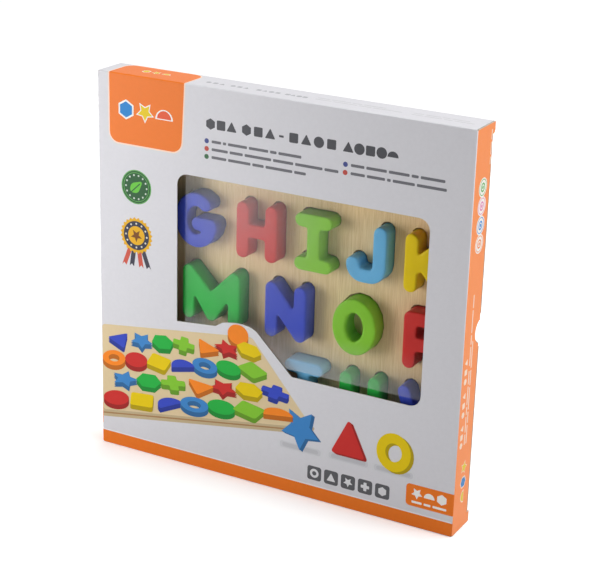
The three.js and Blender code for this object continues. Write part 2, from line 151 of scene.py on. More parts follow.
class StageSettings(PropertyGroup):
    camera_place: FloatVectorProperty(
        name="Camera place", description="Where the camera stands", subtype="TRANSLATION",
        default=(0.5648, -1.0283, 0.5893),
    )
    azimuth: angle("Azimuth", "Turn of the view to the right", 28.23)
    elevation: angle("Elevation", "Tilt of the view from above", 20.15)
    roll: angle("Roll", "Turn of the camera about its axis", 1.65)
    lens: level("Lens", "Focal length in millimetres", 100.9)
    sky: level("Sky", "Strength of the even light", 0.12)
    key: level("Key", "Strength of the overhead light", 2.35)
    side: level("Side", "Power of the light on the right", 8.6)
    back: level("Back", "Power of the light behind", 4.0)
    fill: level("Fill", "Power of the light on the left", 3.0)


# Materials


def new_material(name, roughness, specular=0.5):
    material = bpy.data.materials.new(name)
    material.use_nodes = True
    tree = material.node_tree
    shader = tree.nodes["Principled BSDF"]
    shader.inputs["Roughness"].default_value = roughness
    shader.inputs["Specular IOR Level"].default_value = specular
    return material, tree, shader


def noise(tree, scale=1.0, detail=2.0, stretch=(1, 1, 1)):
    """A noise in the piece's own frame, with so many grains to a metre."""
    place = tree.nodes.new("ShaderNodeTexCoord")
    mapping = tree.nodes.new("ShaderNodeMapping")
    mapping.inputs["Scale"].default_value = stretch
    texture = tree.nodes.new("ShaderNodeTexNoise")
    texture.inputs["Scale"].default_value = scale
    texture.inputs["Detail"].default_value = detail
    tree.links.new(place.outputs["Object"], mapping.inputs["Vector"])
    tree.links.new(mapping.outputs["Vector"], texture.inputs["Vector"])
    return texture.outputs["Fac"]


def split_parts(tree, kind):
    """The X, Y and Z of a place or a normal in the piece's own frame."""
    place = tree.nodes.new("ShaderNodeTexCoord")
    split = tree.nodes.new("ShaderNodeSeparateXYZ")
    tree.links.new(place.outputs[kind], split.inputs["Vector"])
    return split.outputs


def map_range(tree, value, start, end, low=0, high=1):
    """Goes from low at the start to high at the end, and stays there outside."""
    node = tree.nodes.new("ShaderNodeMapRange")
    for name, number in (("From Min", start), ("From Max", end), ("To Min", low), ("To Max", high)):
        node.inputs[name].default_value = number
    tree.links.new(value, node.inputs["Value"])
    return node.outputs["Result"]


def spread(tree, factor, low=0, high=1):
    """Maps the middle of a noise to a range of values."""
    return map_range(tree, factor, 0.3, 0.7, low, high)


def feed(tree, socket, value):
    """Links another node's output to a socket, or sets a plain value on it."""
    if isinstance(value, bpy.types.NodeSocket):
        tree.links.new(value, socket)
    else:
        socket.default_value = value


def between(tree, factor, first, second):
    """A colour between two, each given as a colour or as another node's output."""
    node = tree.nodes.new("ShaderNodeMix")
    node.data_type = "RGBA"
    tree.links.new(factor, node.inputs["Factor"])
    for name, value in (("A", first), ("B", second)):
        is_output = isinstance(value, bpy.types.NodeSocket)
        feed(tree, node.inputs[name], value if is_output else (*value, 1))
    return node.outputs["Result"]


def combine(tree, operation, first, second):
    """One sum on two values, each another node's output or a plain number."""
    node = tree.nodes.new("ShaderNodeMath")
    node.operation = operation
    feed(tree, node.inputs[0], first)
    feed(tree, node.inputs[1], second)
    return node.outputs["Value"]


def shade(rgb, factor):
    return tuple(min(1.0, channel * factor) for channel in rgb)


def add_bump(tree, shader, heights, distance):
    """Raises the surface by one or more noises, each with its own strength."""
    normal = None
    for factor, strength in heights:
        node = tree.nodes.new("ShaderNodeBump")
        node.inputs["Strength"].default_value = strength
        node.inputs["Distance"].default_value = distance
        tree.links.new(factor, node.inputs["Height"])
        if normal is not None:
            tree.links.new(normal, node.inputs["Normal"])
        normal = node.outputs["Normal"]
    tree.links.new(normal, shader.inputs["Normal"])


def coated_print(name, rgb):
    """Ink under a soft varnish on carton board: faint mottle, fine paper tooth, a slow swell in the sheet."""
    material, tree, shader = new_material(name, roughness=0.4, specular=0.18)
    mottle = spread(tree, noise(tree, 350, detail=3))
    tree.links.new(between(tree, mottle, shade(rgb, 0.985), shade(rgb, 1.01)), shader.inputs["Base Color"])
    tree.links.new(spread(tree, noise(tree, 900), 0.36, 0.46), shader.inputs["Roughness"])
    tooth, swell = noise(tree, 2600), noise(tree, 14)
    add_bump(tree, shader, ((tooth, 0.05), (swell, 0.03)), distance=0.2 * MM)
    return material


def make_inks(colours):
    """One varnished ink for each named colour."""
    return {name: coated_print(f"{name} ink", rgb) for name, rgb in colours.items()}


def raw_board(name, rgb):
    """Uncoated board with short darker fibres."""
    material, tree, shader = new_material(name, roughness=0.8, specular=0.2)
    cloud = spread(tree, noise(tree, 90, detail=4))
    fibre = spread(tree, noise(tree, stretch=(1500, 1500, 300)))
    base = between(tree, cloud, shade(rgb, 0.93), shade(rgb, 1.04))
    tree.links.new(between(tree, fibre, shade(rgb, 0.86), base), shader.inputs["Base Color"])
    add_bump(tree, shader, ((noise(tree, 1400, detail=3), 0.15),), distance=0.2 * MM)
    return material


def plywood(name, wood, tone=1.0):
    """Sanded birch ply: long faint grain on the faces and thin glued layers on the cut edges."""
    material, tree, shader = new_material(name, roughness=0.55, specular=0.2)
    grain = spread(tree, noise(tree, detail=4, stretch=(260, 260, 9)))
    pores = spread(tree, noise(tree, stretch=(1800, 1800, 60)))
    figure = spread(tree, noise(tree, detail=3, stretch=(34, 34, 5)))
    band = between(tree, grain, shade(wood.dark, tone), shade(wood.pale, tone))
    swept = between(tree, figure, band, shade(wood.pale, tone))
    face = between(tree, pores, shade(wood.dark, 0.92 * tone), swept)
    layers = map_range(tree, noise(tree, detail=0, stretch=(0.5, 1100, 0.5)), 0.46, 0.54)
    layers.node.interpolation_type = "SMOOTHSTEP"
    edge = between(tree, layers, wood.glue, shade(wood.pale, 0.95))
    facing = tree.nodes.new("ShaderNodeMath")
    facing.operation = "ABSOLUTE"
    tree.links.new(split_parts(tree, "Normal")["Y"], facing.inputs[0])
    tree.links.new(between(tree, facing.outputs["Value"], edge, face), shader.inputs["Base Color"])
    tree.links.new(spread(tree, noise(tree, 300), 0.48, 0.62), shader.inputs["Roughness"])
    relief = noise(tree, detail=3, stretch=(420, 420, 14))
    add_bump(tree, shader, ((relief, 0.12),), distance=0.2 * MM)
    return material


def letter_paint(name, rgb):
    """Satin toy paint over sanded wood: the grain just shows through as relief."""
    material, tree, shader = new_material(name, roughness=0.38, specular=0.14)
    cloud = spread(tree, noise(tree, 70, detail=3))
    tree.links.new(between(tree, cloud, shade(rgb, 0.94), shade(rgb, 1.04)), shader.inputs["Base Color"])
    tree.links.new(spread(tree, noise(tree, 420), 0.33, 0.45), shader.inputs["Roughness"])
    grain, speckle = noise(tree, detail=3, stretch=(40, 40, 700)), noise(tree, 1600)
    add_bump(tree, shader, ((grain, 0.1), (speckle, 0.06)), distance=0.15 * MM)
    return material


def window_film(name, carton):
    """Clear film with a painted reflection: a faint white haze over its upper middle and along its foot,
    short of two edges.
    """
    material, tree, shader = new_material(name, roughness=0.12)
    shader.inputs["Base Color"].default_value = (0.96, 0.97, 0.98, 1)
    place = split_parts(tree, "Object")
    left = carton.window_left + 7 * MM
    low = carton.window_bottom + 5.5 * MM
    edge = 0.4
    foot_reflection_gain = 2.2
    clear = 0.003

    # Both ramps take their start and end in millimetres from the painted reflection's lower left corner
    def across(start, end):
        return map_range(tree, place["X"], left + start * MM, left + end * MM)

    def up(start, end):
        return map_range(tree, place["Z"], low + start * MM, low + end * MM)

    def times(first, second):
        return combine(tree, "MULTIPLY", first, second)

    # Where the painted reflection lies: over the upper middle and along the foot, fading out before the left
    # and lower edges
    upper = times(times(across(-40, 40), across(150, 50)), up(10, 110))
    foot = times(times(up(34, 0), across(240, 60)), foot_reflection_gain)
    reflection_mask = combine(tree, "MAXIMUM", upper, foot)
    for inner in (across(-edge, edge), up(-edge, edge)):
        reflection_mask = times(reflection_mask, inner)
    # Painted reflection: a faint white haze in the alpha stands in for the studio mirrored in the film
    painted_reflection = times(spread(tree, noise(tree, 9), 0.075, 0.105), reflection_mask)
    tree.links.new(combine(tree, "ADD", painted_reflection, clear), shader.inputs["Alpha"])
    return material


def white_rays(tree):
    """One for the rays that should see a white studio: the camera's, and those in gloss and clear film."""
    path = tree.nodes.new("ShaderNodeLightPath")
    seen = path.outputs["Is Camera Ray"]
    for kind in ("Is Glossy Ray", "Is Transmission Ray"):
        seen = combine(tree, "MAXIMUM", seen, path.outputs[kind])
    return seen


def studio_floor(name):
    """A white floor that keeps the shadow and reads as white to the camera."""
    material, tree, shader = new_material(name, roughness=0.9, specular=0)
    shader.inputs["Emission Color"].default_value = (1, 1, 1, 1)
    seen = white_rays(tree)
    grey, white = (0.5, 0.5, 0.5), (0.95, 0.95, 0.95)
    tree.links.new(between(tree, seen, grey, white), shader.inputs["Base Color"])
    tree.links.new(combine(tree, "MULTIPLY", seen, 0.2), shader.inputs["Emission Strength"])
    return material


# Meshes and pieces


def add_object(name, data):
    """A new object of the scene for a mesh, a lamp or a camera."""
    item = bpy.data.objects.new(name, data)
    bpy.context.scene.collection.objects.link(item)
    return item


def make_piece(name, bm, materials, body, replaces=(), smooth=None):
    """Turns a bmesh in metres into a finished piece, which rides on a body if one is given."""
    for face in bm.faces:
        face.smooth = smooth(face) if smooth else False
    mesh = bpy.data.meshes.new(name)
    bm.to_mesh(mesh)
    bm.free()
    for material in materials:
        mesh.materials.append(material)
    piece = add_object(name, mesh)
    if body:
        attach(piece, body)
    if replaces:
        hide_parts(*replaces)
    return piece


def dress_node(node, material):
    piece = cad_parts[node]
    piece.data.materials.clear()
    piece.data.materials.append(material)


def verts_of(geometry):
    return [item for item in geometry if isinstance(item, bmesh.types.BMVert)]


def edges_of(geometry):
    return [item for item in geometry if isinstance(item, bmesh.types.BMEdge)]


def edges_where(bm, test):
    return [edge for edge in bm.edges if all(test(vert.co) for vert in edge.verts)]


def near(value, target):
    return abs(value - target) < 1e-6


def turn_edges(bm, edges, centre, axis, turn, steps=5):
    """Rolls a sheet on round a fold and gives its new far edges."""
    ends = list({vert for edge in edges for vert in edge.verts})
    made = bmesh.ops.spin(
        bm, geom=ends + edges, cent=centre, axis=axis, angle=turn, steps=steps, use_merge=False
    )
    return edges_of(made["geom_last"])


def run_edges(bm, edges, step):
    """Runs a sheet straight on and gives its new far edges."""
    made = bmesh.ops.extrude_edge_only(bm, edges=edges)
    bmesh.ops.translate(bm, verts=verts_of(made["geom"]), vec=step)
    return edges_of(made["geom"])


def cut_across(bm, point, normal, reach=0.0):
    """Cuts every face along a plane."""
    geometry = bm.verts[:] + bm.edges[:] + bm.faces[:]
    bmesh.ops.bisect_plane(bm, geom=geometry, plane_co=point, plane_no=normal, dist=reach)


def mirror_to_left(bm):
    """Turns a sheet for the right end into one for the left end."""
    bmesh.ops.scale(bm, verts=bm.verts, vec=(-1, 1, 1))
    bmesh.ops.reverse_faces(bm, faces=bm.faces)


def arc_points(centre, radius, start, end, steps):
    """Points on an arc, with its angles in degrees."""
    turns = [math.radians(start + (end - start) * i / steps) for i in range(steps + 1)]
    return [(centre[0] + radius * math.cos(t), centre[1] + radius * math.sin(t)) for t in turns]


def bite_radius(long, deep):
    """Radius of the arc that bites so deep into an edge over such a length."""
    return (long ** 2 / 4 + deep ** 2) / (2 * deep)


def half_moon(edge, middle, long, deep):
    """Points of a half-moon notch in an upright edge, from its lower end to its upper end."""
    radius = bite_radius(long, deep)
    sweep = math.degrees(math.asin(long / 2 / radius))
    return arc_points((edge - deep + radius, middle), radius, 180 + sweep, 180 - sweep, 12)


def is_fold(face):
    """True for the narrow faces that turn a corner, which are shaded smooth."""
    return max(abs(part) for part in face.normal) < 0.995


def thicken_sheet(bm, thickness, inside=1):
    """Gives a sheet its thickness and its inside's material, and returns the faces of its printed side."""
    bmesh.ops.remove_doubles(bm, verts=bm.verts, dist=1e-6)
    bmesh.ops.recalc_face_normals(bm, faces=bm.faces)
    printed = list(bm.faces)
    bmesh.ops.solidify(bm, geom=printed, thickness=thickness)
    for face in bm.faces:
        face.material_index = inside
    for face in printed:
        face.material_index = 0
    return printed


# Flat outlines for the print, in millimetres: u to the right and v up


def outline(bm, points, radius=0.0, steps=4, rounded=None):
    """A flat face through a few corners, with all of them or the chosen ones rounded alike."""
    verts = [bm.verts.new((u, v, 0)) for u, v in points]
    face = bm.faces.new(verts)
    if radius > 0:
        chosen = verts if rounded is None else [verts[i] for i in rounded]
        made = bmesh.ops.bevel(
            bm, geom=chosen, offset=radius, segments=steps, profile=0.5, affect="VERTICES", material=-1
        )
        face = next(f for f in bm.faces if made["verts"][0] in f.verts)
    return [face]


def block(bm, left, right, low, high, radius=0.0):
    return outline(bm, ((left, low), (right, low), (right, high), (left, high)), radius)


def disc(bm, u, v, radius, segments=40):
    made = bmesh.ops.create_circle(
        bm, cap_ends=True, segments=segments, radius=radius, matrix=Matrix.Translation((u, v, 0))
    )
    return [made["verts"][0].link_faces[0]]


def ring(bm, u, v, outer, inner, segments=40):
    place = Matrix.Translation((u, v, 0))
    edges = []
    for radius in (outer, inner):
        made = bmesh.ops.create_circle(bm, cap_ends=False, segments=segments, radius=radius, matrix=place)
        edges += list({edge for vert in made["verts"] for edge in vert.link_edges})
    return bmesh.ops.bridge_loops(bm, edges=edges)["faces"]


def star(bm, u, v, outer, inner, points):
    faces = disc(bm, u, v, outer, 2 * points)
    dents = list(faces[0].verts)[::2]
    share = inner / outer
    bmesh.ops.scale(bm, verts=dents, vec=(share, share, 1), space=Matrix.Translation((-u, -v, 0)))
    return faces


# Plain toy block outlines, each about one unit across


def unit_disc(bm):
    return disc(bm, 0, 0, 0.48, 28)


def unit_square(bm):
    return block(bm, -0.42, 0.42, -0.42, 0.42, 0.1)


def unit_triangle(bm):
    return outline(bm, ((-0.5, -0.4), (0.5, -0.4), (0, 0.5)), 0.1)


def unit_star(bm):
    return star(bm, 0, 0, 0.54, 0.27, 5)


def unit_hexagon(bm):
    return disc(bm, 0, 0, 0.5, 6)


def unit_cross(bm):
    arm, end = 0.17, 0.47
    right = ((arm, -end), (arm, -arm), (end, -arm), (end, arm), (arm, arm), (arm, end))
    return outline(bm, (*right, *((-u, -v) for u, v in right)), 0.06, 2)


def unit_half(bm):
    return outline(bm, arc_points((0, -0.22), 0.5, 0, 180, 16))


def unit_ring(bm):
    return ring(bm, 0, 0, 0.5, 0.24, 28)


ROW_SHAPES = (unit_square, unit_disc, unit_half, unit_hexagon, unit_square, unit_triangle, unit_disc)
PICTURE_SHAPES = (
    unit_disc, unit_triangle, unit_square, unit_star, unit_half, unit_hexagon, unit_ring, unit_cross,
)


def spot(u, v, wide, tall, turn=0.0):
    return Matrix.Translation((u, v, 0)) @ Matrix.Diagonal((wide, tall, 1, 1)) @ Matrix.Rotation(turn, 4, "Z")


def put_shape(bm, shape, place):
    """Adds a unit outline at a place and gives its faces."""
    faces = shape(bm)
    bmesh.ops.transform(bm, matrix=place, verts=list({vert for face in faces for vert in face.verts}))
    return faces


def shape_row(bm, left, right, base, height, pitch):
    """A row of small block shapes."""
    count = max(1, round((right - left) / pitch))
    step = (right - left) / count
    faces = []
    for i in range(count):
        place = spot(left + (i + 0.5) * step, base + height / 2, height, height)
        faces += put_shape(bm, ROW_SHAPES[(i + count) % len(ROW_SHAPES)], place)
    return faces


def line_bars(bm, left, right, base, height, words):
    """A printed line as plain bars, one for each word."""
    gap = 1.6
    room = (right - left - gap * (len(words) - 1)) / sum(words)
    faces = []
    for share in words:
        end = left + share * room
        faces += block(bm, left, end, base, base + height, 0.3 * height)
        left = end + gap
    return faces


# Printed pieces: outlines raised by their layers, then laid on a wall of the carton

ON_FRONT = Matrix(((MM, 0, 0, 0), (0, 0, -MM, FRONT_Y), (0, MM, 0, 0), (0, 0, 0, 1)))
ON_RIGHT = Matrix(((0, 0, MM, SIDE_X), (MM, 0, 0, FRONT_Y), (0, MM, 0, 0), (0, 0, 0, 1)))
ON_TOP = Matrix(((MM, 0, 0, 0), (0, MM, 0, FRONT_Y), (0, 0, MM, CARTON_TOP), (0, 0, 0, 1)))
UPRIGHT = Matrix.Rotation(math.pi / 2, 4, "Z")
# How far every printed layer reaches into the sheet, in millimetres
INK_SINK = 0.02


class PrintSheet:
    """One printed piece in millimetres, with the inks that its outlines are printed in."""

    def __init__(self, carton, inks):
        self.bm = bmesh.new()
        self.lift = carton.ink_lift / MM
        self.fold_radius = carton.fold_radius / MM
        self.inks = inks

    def add(self, layer, ink_name, shape, *sizes):
        """Prints one outline as a thin layer."""
        faces = shape(self.bm, *sizes)
        made = bmesh.ops.extrude_face_region(self.bm, geom=faces)
        raised = verts_of(made["geom"])
        below = [face for face in faces if face.is_valid]
        bottom = {vert for face in below for vert in face.verts} - set(raised)
        bmesh.ops.translate(self.bm, verts=list(bottom), vec=(0, 0, -INK_SINK))
        bmesh.ops.translate(self.bm, verts=raised, vec=(0, 0, layer * self.lift))
        number = list(self.inks).index(ink_name)
        for face in {face for vert in raised for face in vert.link_faces}.union(below):
            face.material_index = number

    def cut_for_fold(self, fold, way, steps=5):
        """Cuts the print where it will bend: way is 1 for the top fold and -1 for the bottom one."""
        for i in range(steps + 1):
            line = fold + way * self.fold_radius * math.pi / 2 * i / steps
            cut_across(self.bm, (0, line, 0), (0, 1, 0), 1e-5)

    def wrap_over_fold(self, fold, way):
        """Bends what passes the fold line backwards round the fold."""
        for vert in self.bm.verts:
            past = way * (vert.co.y - fold)
            if past <= 0:
                continue
            turn = min(past / self.fold_radius, math.pi / 2)
            run = past - turn * self.fold_radius
            reach = self.fold_radius + vert.co.z
            back = self.fold_radius - reach * math.cos(turn) + run
            vert.co = (vert.co.x, fold + way * reach * math.sin(turn), -back)

    def finish(self, name, place, body="carton", slot="carton_print"):
        bmesh.ops.recalc_face_normals(self.bm, faces=self.bm.faces)
        bmesh.ops.transform(self.bm, matrix=place, verts=self.bm.verts)
        return make_piece(name, self.bm, self.inks.values(), body)


def outlined_blocks(sheet, layer, pale, blocks, middle, v, size, pitch):
    """Prints a row of plain blocks about its middle, each with a pale edge."""
    for number, (shape, ink_name) in enumerate(blocks):
        u = middle + pitch * (number - (len(blocks) - 1) / 2)
        sheet.add(layer, pale, put_shape, shape, spot(u, v, size, size))
        sheet.add(layer + 1, ink_name, put_shape, shape, spot(u, v, 0.8 * size, 0.8 * size))


def dot_ring(sheet, layer, ink_name, u, v, radius, dot, count):
    """Prints dots on a circle."""
    for i in range(count):
        turn = math.radians(i * 360 / count)
        sheet.add(layer, ink_name, disc, u + radius * math.cos(turn), v + radius * math.sin(turn), dot, 12)


# Carton

# The window's stepped corner, in millimetres from its left and lower edges
STEP_START = (0, 23.7)
STEP_LEDGE = (35, 27)
STEP_RISE = (41, 31)
STEP_PEAK = (62, 36)
STEP_FALL = (71, 29.5)
STEP_FOOT = (102, 0)
# Heights of the front's foot band and corner tab, in millimetres
BAND_TOP = 11.1
CORNER_TAB_LOW = 17.1
CORNER_TAB_TOP = 34.9
# Stretches of the upright folds that the band and the tab run on to
FOLD_BANDS = ((0, BAND_TOP), (CORNER_TAB_LOW, CORNER_TAB_TOP))
# The sideways lean of a fold's face past which it carries the end panel's print
END_FOLD_START = 0.86


def window_outline(carton):
    """The window's corners and arcs, with the stepped corner that clears the printed picture."""
    left, right = carton.window_left, carton.window_right
    low, high = carton.window_bottom, carton.window_top
    r = carton.window_radius
    corners = (STEP_START, STEP_LEDGE, STEP_RISE, STEP_PEAK, STEP_FALL, STEP_FOOT)
    start, ledge, rise, peak, fall, foot = [Vector((left + u * MM, low + v * MM)) for u, v in corners]
    points = [start, ledge]
    steps = 8
    for i in range(steps + 1):
        t = i / steps
        points.append(rise * (1 - t) ** 2 + peak * 2 * t * (1 - t) + fall * t ** 2)
    points.append(foot)
    points += arc_points((right - r, low + r), r, -90, 0, 8)
    points += arc_points((right - r, high - r), r, 0, 90, 8)
    points += arc_points((left + r, high - r), r, 90, 180, 8)
    return points


class PUZZLE_OT_carton_sleeve(Operator):
    """Builds the carton's tube as one folded sheet with its window"""

    bl_idname = "boxed_puzzle.carton_sleeve"
    bl_label = "Carton sleeve"

    def execute(self, context):
        carton = context.scene.puzzle_carton
        r = carton.fold_radius
        half = SIDE_X - r
        bm = bmesh.new()
        corners = ((-half, r), (half, r), (half, CARTON_TOP - r), (-half, CARTON_TOP - r))
        edges = []
        for points in (corners, window_outline(carton)):
            verts = [bm.verts.new((x, FRONT_Y, z)) for x, z in points]
            edges += [bm.edges.new((verts[i - 1], verts[i])) for i in range(len(verts))]
        bmesh.ops.triangle_fill(bm, use_beauty=True, edges=edges, normal=(0, -1, 0))
        self.roll_tube(bm, r)
        self.notch_back(bm, carton)
        thicken_sheet(bm, carton.sheet)
        materials = (coated_print("white carton print", carton.white), raw_board("raw board", carton.raw))
        walls = ("front_panel", "top_panel", "back_panel", "bottom_panel")
        make_piece("carton_sleeve", bm, materials, "carton", walls, is_fold)
        return {"FINISHED"}

    @staticmethod
    def roll_tube(bm, r):
        """Rolls the sheet from the front over the top, down the back and under the bottom."""
        deep = BACK_Y - FRONT_Y - 2 * r
        tall = CARTON_TOP - 2 * r
        edges = edges_where(bm, lambda co: near(co.z, CARTON_TOP - r) and near(co.y, FRONT_Y))
        stations = (
            ((0, FRONT_Y + r, CARTON_TOP - r), (0, deep, 0)),
            ((0, BACK_Y - r, CARTON_TOP - r), (0, 0, -tall)),
            ((0, BACK_Y - r, r), (0, -deep, 0)),
            ((0, FRONT_Y + r, r), None),
        )
        for centre, step in stations:
            edges = turn_edges(bm, edges, centre, (1, 0, 0), -math.pi / 2)
            if step:
                edges = run_edges(bm, edges, step)

    @staticmethod
    def notch_back(bm, carton):
        """Replaces the plain back wall by one with a thumb notch at each end."""
        r = carton.fold_radius
        half = SIDE_X - r
        plain = [face for face in bm.faces if all(near(vert.co.y, BACK_Y) for vert in face.verts)]
        bmesh.ops.delete(bm, geom=plain, context="FACES")
        right = half_moon(half, CARTON_TOP / 2, carton.back_notch_length, carton.back_notch_depth)
        left = [(-x, z) for x, z in reversed(right)]
        points = [(-half, r), (half, r), *right, (half, CARTON_TOP - r), (-half, CARTON_TOP - r), *left]
        bm.faces.new([bm.verts.new((x, BACK_Y, z)) for x, z in points])


class PUZZLE_OT_closures(Operator):
    """Builds both end closures, each one sheet with its end panel, fold and tuck tab"""

    bl_idname = "boxed_puzzle.closures"
    bl_label = "End closures"

    def execute(self, context):
        carton = context.scene.puzzle_carton
        # The closures' orange print carries painted glare: it is paler than the front's orange
        materials = (
            coated_print("orange carton print", carton.end_orange_with_glare), raw_board("raw closure board", carton.raw)
        )
        for word, way in ENDS:
            bm = self.closure_sheet(carton)
            thicken_sheet(bm, carton.sheet)
            if way < 0:
                mirror_to_left(bm)
            nodes = (f"{word}_closure_panel", f"{word}_tuck_tab")
            body = f"{word}_closure"
            make_piece(f"{word}_closure_sheet", bm, materials, body, nodes, is_fold)
        return {"FINISHED"}

    @staticmethod
    def closure_sheet(carton):
        """The right closure's outside as a thin sheet: panel with shoulders and notch, fold, and tab."""
        r = carton.fold_radius
        low, high = CLOSURE_LOW.z, CLOSURE_HIGH.z
        middle = (low + high) / 2
        crease = FRONT_Y + carton.crease_depth - r
        back = CLOSURE_HIGH.y
        front = FRONT_Y + r
        foot, head = low + carton.shoulder, high - carton.shoulder
        bite = bite_radius(carton.notch_length, carton.notch_depth)
        bottom = carton.notch_depth - r
        chord = 2 * math.sqrt(bite ** 2 - (bite - bottom) ** 2)
        notch = half_moon(crease, middle, chord, bottom)
        points = [(front, low), (back, low), (back, foot), (crease, foot), *notch]
        points += [(crease, head), (back, head), (back, high), (front, high)]
        bm = bmesh.new()
        bm.faces.new([bm.verts.new((SIDE_X, y, z)) for y, z in points])
        fold = [
            edge for edge in edges_where(bm, lambda co: near(co.y, crease))
            if abs(edge.verts[0].co.z - edge.verts[1].co.z) > carton.notch_length
        ]
        turn_edges(bm, fold, (SIDE_X - r, crease, 0), (0, 0, 1), math.pi / 2)
        inner = SIDE_X - r
        corner = carton.tab_corner
        tab = [(inner, foot), *half_moon(inner, middle, chord, carton.tab_notch_depth), (inner, head)]
        tab += arc_points((TAB_TIP_X + corner, head - corner), corner, 90, 180, 6)
        tab += arc_points((TAB_TIP_X + corner, foot + corner), corner, 180, 270, 6)
        bm.faces.new([bm.verts.new((x, crease + r, z)) for x, z in tab])
        return bm


class PUZZLE_OT_end_folds(Operator):
    """Builds the two upright folds between the front and the end closures"""

    bl_idname = "boxed_puzzle.end_folds"
    bl_label = "End folds"

    def execute(self, context):
        carton = context.scene.puzzle_carton
        # The end fold print's orange carries painted glare, paler than the front's orange
        materials = (
            coated_print("white fold print", carton.white), coated_print("orange fold print", carton.orange),
            coated_print("end fold print", carton.end_orange_with_glare), raw_board("raw fold board", carton.raw),
        )
        for word, way in ENDS:
            bm = self.fold_strip(carton)
            if way < 0:
                mirror_to_left(bm)
            fold = make_piece(f"{word}_end_fold", bm, materials, None, (), is_fold)
            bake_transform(fold)
        return {"FINISHED"}

    @staticmethod
    def fold_strip(carton):
        """A quarter turn of board, cut where the print on the front changes colour."""
        white, orange, end_print, inside = range(4)
        r = carton.fold_radius
        half = SIDE_X - r
        bm = bmesh.new()
        edge = bm.edges.new([bm.verts.new((half, FRONT_Y, z)) for z in (r, CARTON_TOP - r)])
        turn_edges(bm, [edge], (half, FRONT_Y + r, 0), (0, 0, 1), math.pi / 2, 8)
        for z in sum(FOLD_BANDS, ()):
            cut_across(bm, (0, 0, z * MM), (0, 0, 1))
        for face in thicken_sheet(bm, carton.sheet, inside):
            height = face.calc_center_median().z / MM
            banded = any(low < height < high for low, high in FOLD_BANDS)
            front_print = orange if banded else white
            face.material_index = end_print if face.normal.x > END_FOLD_START else front_print
        return bm


class PUZZLE_OT_carton_inside(Operator):
    """Gives the dust flaps, the glued seam and the window film their finish"""

    bl_idname = "boxed_puzzle.carton_inside"
    bl_label = "Carton inside and film"

    def execute(self, context):
        carton = context.scene.puzzle_carton
        board = raw_board("flap board", carton.raw)
        flaps = [f"{side}_{end}_dust_flap" for side, _ in ENDS for end in ("top", "bottom")]
        for node in (*flaps, "glue_flap"):
            dress_node(node, board)
        dress_node("window_film", window_film("window film", carton))
        return {"FINISHED"}


# Print on the carton, with its places in millimetres

LABEL_LEFT = -144.5
LABEL_RIGHT = -80.5
LABEL_LOW = 254.5
LABEL_CORNER = 8
LABEL_BORDER = 1.1
# How far the label reaches over the top, and its right edge leans out at the fold and at the far end
LABEL_OVER_TOP = 28.6
LABEL_FOLD_LEAN = 2.5
LABEL_FAR_LEAN = 3
# Each row of blocks on the label: its height, or how far it lies past the fold, its size and its pitch
LABEL_FRONT_ROW = (281, 15.6, 17)
LABEL_TOP_ROW = (16.5, 7.4, 9)


class PUZZLE_OT_corner_label(Operator):
    """Prints the orange label that runs from the front over the top fold"""

    bl_idname = "boxed_puzzle.corner_label"
    bl_label = "Corner label"

    def execute(self, context):
        carton = context.scene.puzzle_carton
        sheet = PrintSheet(carton, make_inks({
            "label border": ink(255, 226, 205), "label orange": carton.orange,
            "label white": ink(250, 248, 244), "label yellow": context.scene.puzzle_letters.yellow,
            "label red": ink(228, 88, 50), "label blue": ink(20, 130, 205),
        }))
        fold = CARTON_TOP / MM - sheet.fold_radius
        for layer, ink_name, edge in ((1, "label border", LABEL_BORDER), (2, "label orange", 0)):
            left, right = LABEL_LEFT - edge, LABEL_RIGHT + edge
            low, far = LABEL_LOW - edge, fold + LABEL_OVER_TOP + edge
            leaning = ((right, low), (right + LABEL_FOLD_LEAN, fold), (right + LABEL_FAR_LEAN, far))
            corners = ((left, low), *leaning, (left, far))
            sheet.add(layer, ink_name, outline, corners, LABEL_CORNER + edge, 6)
        sheet.cut_for_fold(fold, 1)
        middle = (LABEL_LEFT + LABEL_RIGHT) / 2
        front = ((unit_hexagon, "label blue"), (unit_star, "label yellow"), (unit_half, "label red"))
        outlined_blocks(sheet, 3, "label white", front, middle, *LABEL_FRONT_ROW)
        top = [(shape, "label yellow") for shape, _ in front]
        past, size, pitch = LABEL_TOP_ROW
        outlined_blocks(sheet, 3, "label white", top, middle, fold + past, size, pitch)
        sheet.wrap_over_fold(fold, 1)
        sheet.finish("corner_label_print", ON_FRONT)
        return {"FINISHED"}


# Words of the headlines: the ends of each, then the foot, height and pitch of the blocks they are made of
HEADLINE_WORDS = ((-59.6, -32.7), (-29.6, 0), (9.3, 50), (53.8, 97.3))
HEADLINE_BLOCKS = (276.4, 8.6, 9.4)
TOP_WORDS = ((-68, -50), (-47, -30), (-25, -4), (-1, 18))
TOP_BLOCKS = (11, 4.4, 5.4)
# The headline's dash: left, right, foot and top
HEADLINE_DASH = (2.4, 6.2, 279.6, 281.2)
# Small lines: left and right end, foot, and the shares of the words
SMALL_LINES = (
    (-54, 21, 266.5, (3, 1, 6, 6, 2, 7)), (-54, 51, 260.6, (5, 4, 8, 6, 8, 4)),
    (-54, 25, 254.6, (4, 6, 3, 7, 3)), (60.7, 133.3, 267, (4, 6, 6, 2, 7)),
    (60.7, 134.7, 261, (4, 5, 1, 6, 8)),
)
SMALL_LINE_HEIGHT = 2.1
TOP_LINES = ((24, 78, 16.5), (24, 92, 12.5), (100, 142, 15.5), (100, 147, 11.5))
TOP_LINE_SHARES = (4, 6, 3, 7)
TOP_LINE_HEIGHT = 1.4
# The dot before each small line: its radius, and its place from the line's start and foot
MARKER_RADIUS = 1.9
MARKER_GAP = 4.3
MARKER_RISE = 1.1


